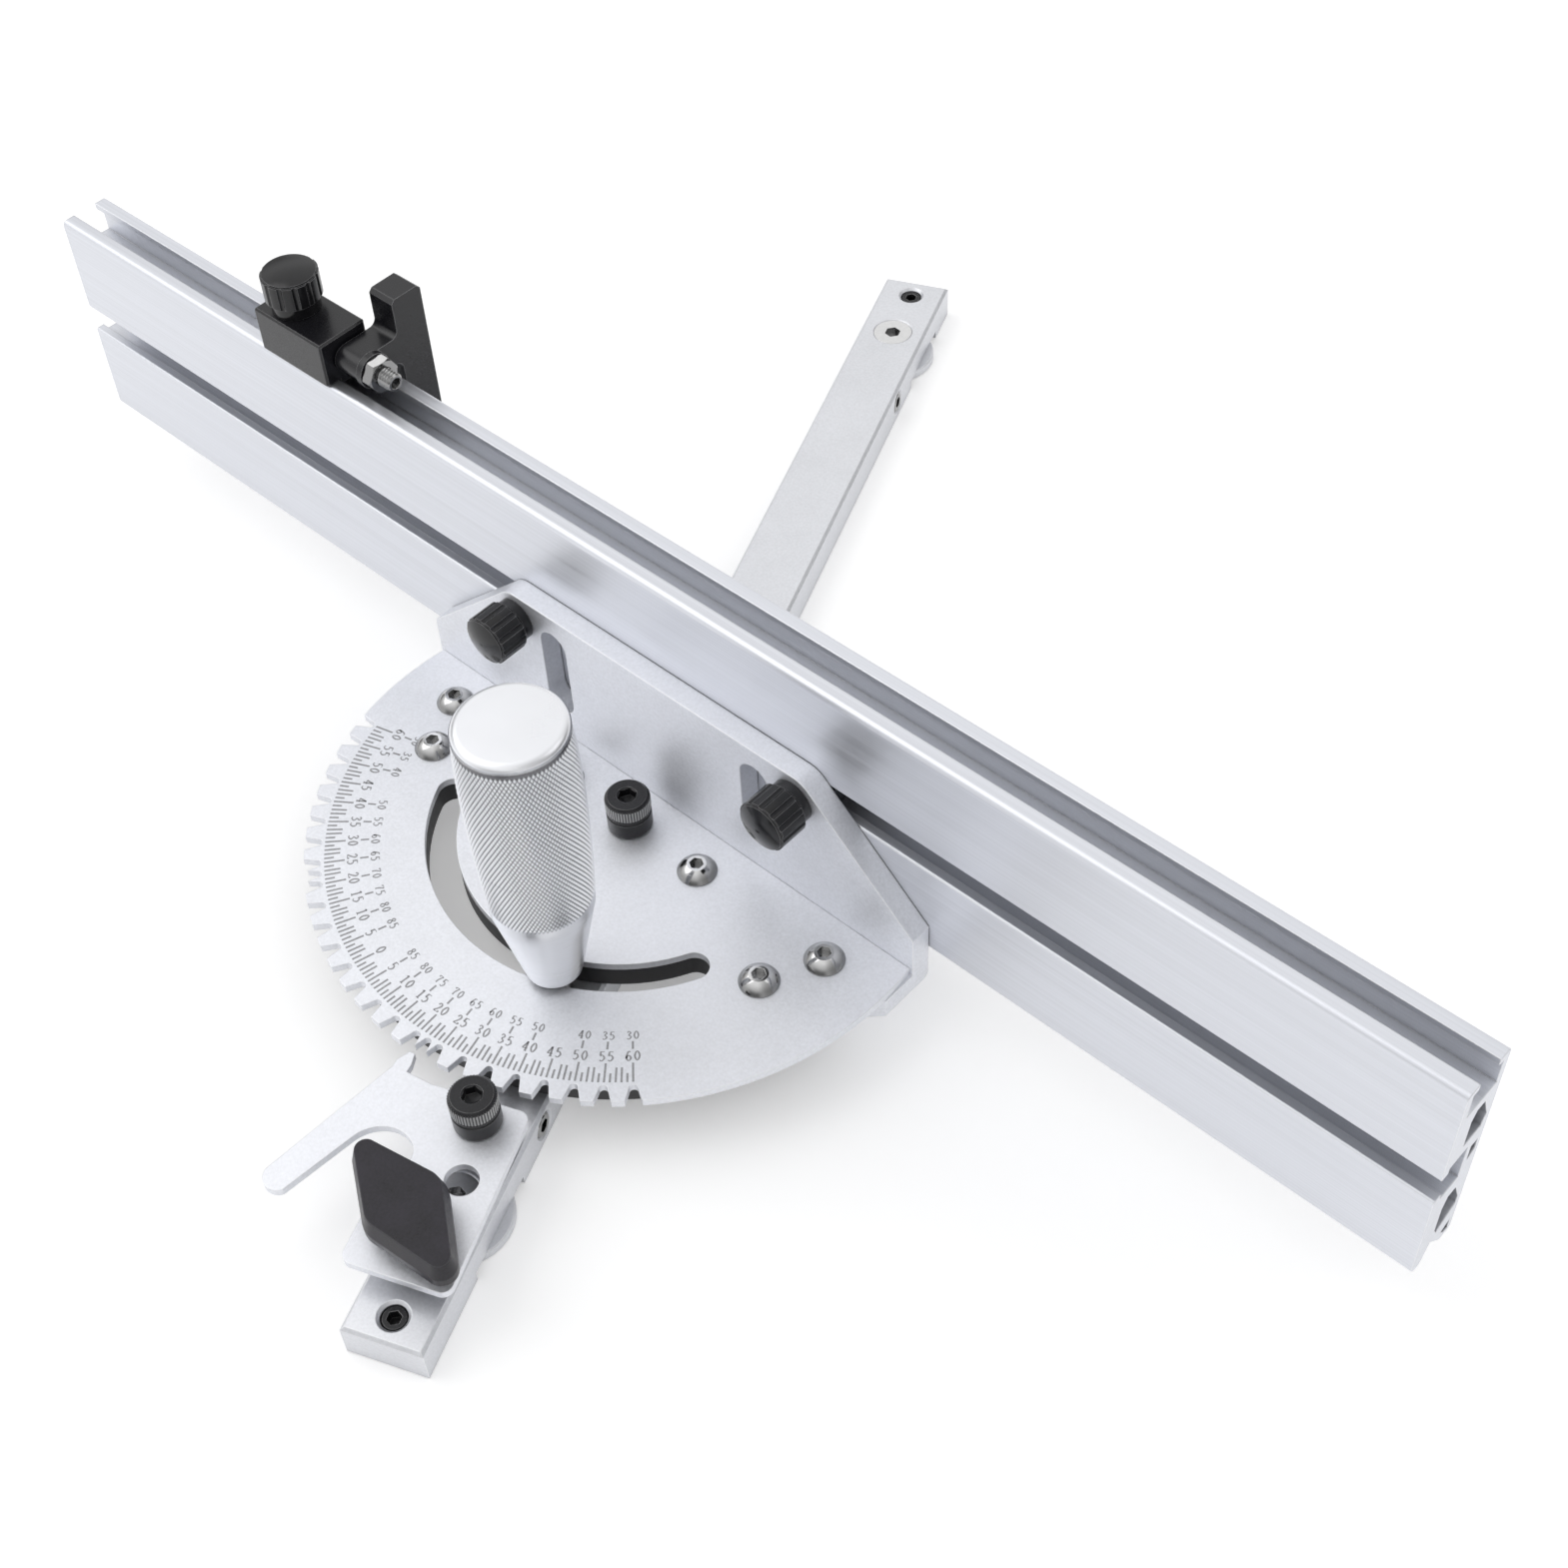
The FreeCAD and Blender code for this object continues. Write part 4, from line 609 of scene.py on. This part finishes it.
# A curve through the points: each stretch is the cubic that leaves a point along the line between its
# neighbours. The stretches share out about count steps.
def smoothLine(points, closed, count=14):
    points = np.asarray(points, float)
    if len(points) == 2:
        return points
    if closed:
        wide = np.concatenate([points[-1:], points, points[:2]])
    else:
        wide = np.concatenate([2 * points[:1] - points[1:2], points, 2 * points[-1:] - points[-2:-1]])
    a, b, c, d = wide[:-3, None], wide[1:-2, None], wide[2:-1, None], wide[3:, None]
    steps = max(3, count // max(len(a), 1))
    t = (np.arange(steps) / steps)[None, :, None]
    line = 0.5 * (2 * b + (c - a) * t + (2 * a - 5 * b + 4 * c - d) * t**2
                  + (3 * b - a - 3 * c + d) * t**3)
    line = line.reshape(-1, 2)
    return line if closed else np.concatenate([line, points[-1:]])


# A stroke of a broad pen: the curve's two sides, half the pen's width to the left and right. The width
# runs from thin where the curve is level to thick where it is upright, with a power of its rise.
def penStroke(points, closed, setup):
    line = smoothLine(points, closed)
    if closed:
        run = np.roll(line, -1, axis=0) - np.roll(line, 1, axis=0)
    else:
        run = np.gradient(line, axis=0)
    run /= np.maximum(np.linalg.norm(run, axis=1, keepdims=True), 1e-9)     # never by nought
    thin, thick = setup["thin"], setup["thick"]
    width = thin + (thick - thin) * np.abs(run[:, 1:]) ** setup["contrast"]
    across = np.stack([-run[:, 1], run[:, 0]], axis=1) * width / 2
    return line + across, line - across


# Strokes of the digits in a cell 1 high: points, and whether the stroke closes on itself.
digits = {
    "0": [([(0.27, 0.97), (0.06, 0.5), (0.27, 0.03), (0.48, 0.5)], True)],
    "1": [([(0.29, 0.97), (0.29, 0.03)], False), ([(0.12, 0.84), (0.29, 0.95)], False),
          ([(0.13, 0.03), (0.45, 0.03)], False)],
    "2": [([(0.09, 0.74), (0.26, 0.96), (0.44, 0.73), (0.3, 0.4), (0.07, 0.06)], False),
          ([(0.06, 0.05), (0.49, 0.05)], False), ([(0.48, 0.04), (0.5, 0.2)], False)],
    "3": [([(0.1, 0.82), (0.25, 0.97), (0.42, 0.77), (0.22, 0.54)], False),
          ([(0.22, 0.54), (0.46, 0.29), (0.24, 0.03), (0.07, 0.13)], False)],
    "4": [([(0.36, 0.97), (0.36, 0.03)], False), ([(0.36, 0.95), (0.05, 0.3)], False),
          ([(0.04, 0.29), (0.5, 0.29)], False), ([(0.24, 0.03), (0.47, 0.03)], False)],
    "5": [([(0.13, 0.95), (0.45, 0.95)], False), ([(0.13, 0.95), (0.11, 0.55)], False),
          ([(0.1, 0.54), (0.3, 0.6), (0.46, 0.32), (0.26, 0.03), (0.07, 0.12)], False)],
    "6": [([(0.43, 0.9), (0.26, 0.93), (0.08, 0.45), (0.1, 0.25)], False),
          ([(0.27, 0.57), (0.08, 0.3), (0.27, 0.03), (0.46, 0.3)], True)],
    "7": [([(0.08, 0.95), (0.48, 0.95)], False), ([(0.47, 0.95), (0.27, 0.45), (0.24, 0.03)], False),
          ([(0.08, 0.95), (0.08, 0.78)], False)],
    "8": [([(0.27, 0.97), (0.11, 0.76), (0.27, 0.54), (0.43, 0.76)], True),
          ([(0.27, 0.54), (0.07, 0.28), (0.27, 0.03), (0.47, 0.28)], True)],
    "9": [([(0.11, 0.1), (0.28, 0.07), (0.46, 0.55), (0.44, 0.75)], False),
          ([(0.27, 0.97), (0.08, 0.7), (0.27, 0.43), (0.46, 0.7)], True)],
}


# Closed prisms of a digit's strokes: rings of four corners (right and left, low and high) along each
# stroke, with level 0 below and 1 above.
def digitPrisms(strokes, setup):
    allPoints, allFaces, count = [], [], 0
    for points, closed in strokes:
        left, right = penStroke(points, closed, setup)
        flat = np.stack([right, left, left, right], axis=1)
        level = np.broadcast_to(np.array([0.0, 0.0, 1.0, 1.0])[None, :, None], (*flat.shape[:2], 1))
        ring = np.concatenate([flat, level], axis=2).reshape(-1, 3)
        rows = len(left)
        quads = gridFaces(rows, 4, True)
        if closed:
            last, k = (rows - 1) * 4, np.arange(4)
            bridge = np.stack([last + k, last + (k + 1) % 4, (k + 1) % 4, k], axis=1)
            quads = np.concatenate([quads, bridge])
        else:
            ends = np.array([[3, 2, 1, 0], [0, 1, 2, 3]])
            ends[1] += (rows - 1) * 4
            quads = np.concatenate([quads, ends])
        allPoints.append(ring)
        allFaces.append(quads + count)
        count += len(ring)
    return np.concatenate(allPoints), np.concatenate(allFaces)


# Numerals round the pivot with their feet at the base radius and their tops towards it. A digit's
# point (x, y) lies at radius base - y and at x across it, anticlockwise.
def numeralRow(labels, base, height, setup, prisms, low, high):
    allPoints, allFaces, count = [], [], 0
    for angle, text in labels:
        turn = math.radians(angle)
        outwards = np.array([math.cos(turn), math.sin(turn)])
        sideways = np.array([-math.sin(turn), math.cos(turn)])
        wide = setup["spacing"] * (len(text) - 1)
        for place, digit in enumerate(text):
            points, faces = prisms[digit]
            x = (points[:, :1] - setup["cellMiddle"] + place * setup["spacing"] - wide / 2) * height
            y = points[:, 1:2] * height
            flat = outwards * (base - y) + sideways * x
            level = low + (high - low) * points[:, 2:]
            allPoints.append(np.concatenate([flat, level], axis=1))
            allFaces.append(faces + count)
            count += len(points)
    return np.concatenate(allPoints), np.concatenate(allFaces)


# Marks at every degree, the longest at the labelled ones and the shortest beside them. The main row of
# numerals gives the degrees from the middle, and the second row what is left of a right angle.
def makeScale(setup):
    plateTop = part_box("sector_plate")[1].z / mm
    low, high = plateTop - setup["sunk"], plateTop + setup["proud"]
    reach, labelStep, centre = setup["reach"], setup["labelStep"], setup["centreAngle"]
    steps = np.arange(-reach, reach + 1)
    labelled = range(-reach, reach + 1, labelStep)
    rest = np.abs(steps) % labelStep
    inner = np.where(rest == 0, setup["longInner"],
                     np.where((rest == 1) | (rest == labelStep - 1),
                              setup["shortInner"], setup["middleInner"]))
    outer = np.full(len(steps), setup["outer"])
    second = np.array([s for s in labelled if abs(s) not in setup["single"]])
    angles = np.concatenate([steps, second]) + centre
    inner = np.concatenate([inner, np.full(len(second), setup["secondInner"])])
    outer = np.concatenate([outer, np.full(len(second), setup["secondOuter"])])
    points, faces = markBoxes(angles, inner, outer, setup["width"], low, high)
    settle(meshObject("scale_marks", points * mm, faces.tolist(), smooth=False), "head")

    prisms = {digit: digitPrisms(strokes, setup) for digit, strokes in digits.items()}
    rows = [("scale_numerals", [(s + centre, str(abs(s))) for s in labelled],
             setup["numeralBase"], setup["numeralHeight"]),
            ("scale_complements", [(s + centre, str(90 - abs(s))) for s in second],
             setup["secondBase"], setup["secondHeight"])]
    for name, labels, base, height in rows:
        points, faces = numeralRow(labels, base, height, setup, prisms, low, high)
        settle(meshObject(name, points * mm, faces.tolist(), smooth=False), "head")
        print(name + ":", len(labels), "numerals")


handle = {
    "boreRadius": 3.0,
    "boreDepth": 26.0,
    "footRadius": 6.5,
    "footEdge": 0.3,
    "coneTop": 23.8,            # heights above the handle's foot, mm
    "coneRadius": 11.6,
    "coneRings": 8,
    "gripStep": 0.9,            # from the cone to the knurl
    "gripLow": 26.8,
    "gripLowRadius": 11.9,
    "belly": 61.3,
    "bellyRadius": 13.0,
    "gripHigh": 77.3,
    "gripHighRadius": 12.4,
    "rimRadius": 12.3,
    "rimRound": 2.0,
    "rimRings": 9,
    "rimRises": (0.4, 1.2, 1.7),            # rings above the knurl that carry its shadow
    "rimShadow": (1.0, 1.1, 1.0, 0.2),      # the shadow on the knurl's last ring and on those
    "crownShare": 0.4,
    "starts": 80,               # knurl lines each way round
    "pitch": 1.75,              # height of one diamond
    "depth": 0.42,
    "crease": 25,
}


# The grip's bow: two parabolas that meet, level, at the belly.
def bellyRadius(height, setup):
    low, high, mid = setup["gripLow"], setup["gripHigh"], setup["belly"]
    below = (setup["bellyRadius"] - setup["gripLowRadius"]) * ((mid - height) / (mid - low)) ** 2
    above = (setup["bellyRadius"] - setup["gripHighRadius"]) * ((height - mid) / (high - mid)) ** 2
    return setup["bellyRadius"] - np.where(height < mid, below, above)


# Where a turned piece stands: upright over the middle of its node's foot, in millimetres.
def standOn(node):
    low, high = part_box(node)
    centre = (low + high) / 2
    place = Matrix.Translation((centre.x, centre.y, low.z)) @ Matrix.Diagonal((mm, mm, mm, 1.0))
    return place, (high.z - low.z) / mm


# Diamond knurl: the grid has half steps of both helices, so its points are the diamonds' peaks where
# i + j is odd and the crossings of the grooves where it is even.
def makeHandle(setup):
    place, top = standOn("lock_handle")
    columns = setup["starts"] * 2
    rows = round((setup["gripHigh"] - setup["gripLow"]) / (setup["pitch"] / 2))
    rows += rows % 2
    level = np.linspace(setup["gripLow"], setup["gripHigh"], rows + 1)[:, None]
    j, i = np.mgrid[0:rows + 1, 0:columns]
    foot, edge = setup["footRadius"], setup["footEdge"]
    run = setup["coneRadius"] - foot
    cone = np.linspace(edge, setup["coneTop"], setup["coneRings"])[1:]
    before = [(setup["boreRadius"], setup["boreDepth"]), (setup["boreRadius"], 0.0), (foot - edge, 0.0),
              (foot, edge), *[(foot + run * z / setup["coneTop"], z) for z in cone],
              (setup["gripLowRadius"] - setup["depth"], setup["gripLow"] - setup["gripStep"])]
    rim, bend = setup["rimRadius"], setup["rimRound"]
    corner = np.linspace(0, math.pi / 2, setup["rimRings"])
    after = [*[(rim, setup["gripHigh"] + rise) for rise in setup["rimRises"]],
             *[(rim - bend * (1 - math.cos(a)), top - bend * (1 - math.sin(a))) for a in corner],
             (rim * setup["crownShare"], top)]
    radiusBefore, heightBefore = stackRings(before, columns)
    radiusAfter, heightAfter = stackRings(after, columns)
    # The knurl runs out at both ends of the grip, so that it meets the plain turned bands.
    fade = np.minimum(1, np.minimum(j, rows - j))
    peak = (i + j + len(before)) % 2 == 1
    grip = bellyRadius(level, setup) - setup["depth"] * np.where(peak, 1 - fade, 1.0)
    radius = np.concatenate([radiusBefore, grip, radiusAfter])
    height = np.concatenate([heightBefore, np.broadcast_to(level, grip.shape), heightAfter])
    last = len(before) + rows
    knurled = np.zeros(len(radius), bool)
    knurled[len(before):last] = True
    piece = turnedObject("lock_handle_knurled", radius, height, place, knurled, crease=setup["crease"])
    # Painted shade in the knurl's grooves, and a painted shadow on its last ring and on the rings above
    # it.
    grooves = np.zeros_like(radius)
    grooves[len(before):last + 1] = np.where(peak, 0.0, 1.0)
    grooves[last:last + len(setup["rimShadow"])] = np.array(setup["rimShadow"])[:, None]
    markPoints(piece, grooves)
    settle(piece, "lock_handle", "handle_silver", "lock_handle")
    print("handle:", len(piece.data.polygons), "faces")


knurledScrew = {
    "threadRadius": 2.95,
    "threadHeight": 5.95,
    "shoulderRadius": 4.0,
    "headHeight": 5.0,
    "bandRadius": 5.3,          # plain band below the knurl
    "bandHeight": 0.9,
    "bandEdge": 0.2,
    "teeth": 50,
    "columnsPerTooth": 6,
    "knurlRadius": 5.45,
    "knurlDepth": 0.28,
    "knurlRun": 0.25,           # height in which the knurl runs out
    "toothFill": 1.6,           # above 1 the teeth are flat on top
    "chamfer": 0.6,
    "crownRadius": 4.8,
    "crownEdge": 0.12,
    "socketFlats": 4.0,
    "socketLead": 2.44,         # radius of the round mouth that leads into the hexagon
    "leadDepth": 0.3,
    "socketDepth": 2.6,
    "pointRadius": 0.6,
    "pointDepth": 0.4,
    "crease": 30,
}


# A turned screw whose straight knurl is a zigzag in the radius, and whose socket is a hexagon.
def makeKnurledScrew(name, node, setup):
    place, top = standOn(node)
    columns = setup["teeth"] * setup["columnsPerTooth"]
    neck = top - setup["headHeight"]
    band = neck + setup["bandHeight"]
    root = setup["knurlRadius"] - setup["knurlDepth"]
    fill = np.minimum(1, setup["toothFill"] * wave(np.arange(columns) * setup["teeth"] / columns))
    teeth = setup["knurlRadius"] - setup["knurlDepth"] * (1 - fill)
    socket = hexagonRadius(setup["socketFlats"], columns)
    floor = top - setup["socketDepth"]
    rows = [(setup["threadRadius"], 0.0), (setup["threadRadius"], setup["threadHeight"]),
            (setup["shoulderRadius"], setup["threadHeight"]), (setup["shoulderRadius"], neck),
            (setup["bandRadius"] - setup["bandEdge"], neck),
            (setup["bandRadius"], neck + setup["bandEdge"]),
            (setup["bandRadius"], band - setup["bandEdge"]),
            (root, band), (teeth, band + setup["knurlRun"]),
            (teeth, top - setup["chamfer"] - setup["knurlRun"]), (root, top - setup["chamfer"]),
            (setup["crownRadius"], top - setup["crownEdge"]),
            (setup["crownRadius"] - setup["crownEdge"], top),
            (setup["socketLead"], top), (socket, top - setup["leadDepth"]), (socket, floor),
            (setup["pointRadius"], floor - setup["pointDepth"])]
    radius, height = stackRings(rows, columns)
    piece = turnedObject(name, radius, height, place, crease=setup["crease"])
    # The mark, a painted highlight, runs from 0 in the knurl's grooves to 1 on its ridges.
    share = (radius - root) / setup["knurlDepth"]
    markPoints(piece, np.where((share > 0.5) & (height >= band), np.clip(share, 0, 1), 0))
    settle(piece, "bar", "black_oxide", node)
    print(name + ":", len(piece.data.polygons), "faces")


stopStud = {
    "radius": 2.45,
    "pitch": 0.9,
    "depth": 0.42,
    "grooveFill": 1.25,         # above 1 the grooves are flat at the bottom
    "columns": 48,
    "rowsPerPitch": 8,
    "chamfer": 0.5,
    "socketFlats": 2.5,
    "socketLead": 1.5,          # radius of the round mouth that leads into the hexagon
    "leadDepth": 0.15,
    "socketDepth": 2.6,
    "pointRadius": 0.3,
    "pointDepth": 0.3,
    "crease": 30,
}


# A screw thread: the radius falls and rises with the height in pitches less the share of a turn. It is
# turned upright, and then laid along the stud.
def makeStopStud(setup):
    low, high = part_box("stop_stud")
    columns = setup["columns"]
    length = (high.x - low.x) / mm
    step = setup["pitch"] / setup["rowsPerPitch"]
    level = np.arange(setup["chamfer"], length - setup["chamfer"] / 2, step)[:, None]
    turn = (np.arange(columns) / columns)[None, :]
    groove = np.minimum(1, setup["grooveFill"] * wave(level / setup["pitch"] - turn))
    tip = setup["radius"] - setup["chamfer"]
    thread = np.minimum(setup["radius"] - setup["depth"] * groove, tip + (length - level))
    socket = hexagonRadius(setup["socketFlats"], columns)
    floor = length - setup["socketDepth"]
    before, heightBefore = stackRings([(tip, 0.0)], columns)
    after, heightAfter = stackRings(
        [(tip, length), (setup["socketLead"], length), (socket, length - setup["leadDepth"]),
         (socket, floor), (setup["pointRadius"], floor - setup["pointDepth"])], columns)
    radius = np.concatenate([before, thread, after])
    height = np.concatenate([heightBefore, np.broadcast_to(level, thread.shape), heightAfter])
    centre = (low + high) / 2
    place = (Matrix.Translation((low.x, centre.y, centre.z)) @ Matrix.Rotation(math.pi / 2, 4, "Y")
             @ Matrix.Diagonal((mm, mm, mm, 1.0)))
    piece = turnedObject("stop_stud_thread", radius, height, place, crease=setup["crease"])
    # The thread's grooves carry painted shade.
    markPoints(piece, np.concatenate([np.zeros_like(before), groove, np.zeros_like(after)]))
    settle(piece, "stop", "stainless", "stop_stud")
    print("stop stud:", len(piece.data.polygons), "faces")


placeCamera(cameraSetup)
placeLamps(lamps)
makeSky(studio)
makeFloor(studio)
bpy.context.scene.view_settings.view_transform = "Standard"
print("camera, lamps and studio placed")
paintNodes()
makeScale(scale)
makeHandle(handle)
makeKnurledScrew("pivot_screw_knurled", "pivot_screw", knurledScrew)
makeKnurledScrew("index_screw_knurled", "index_screw", knurledScrew)
makeStopStud(stopStud)
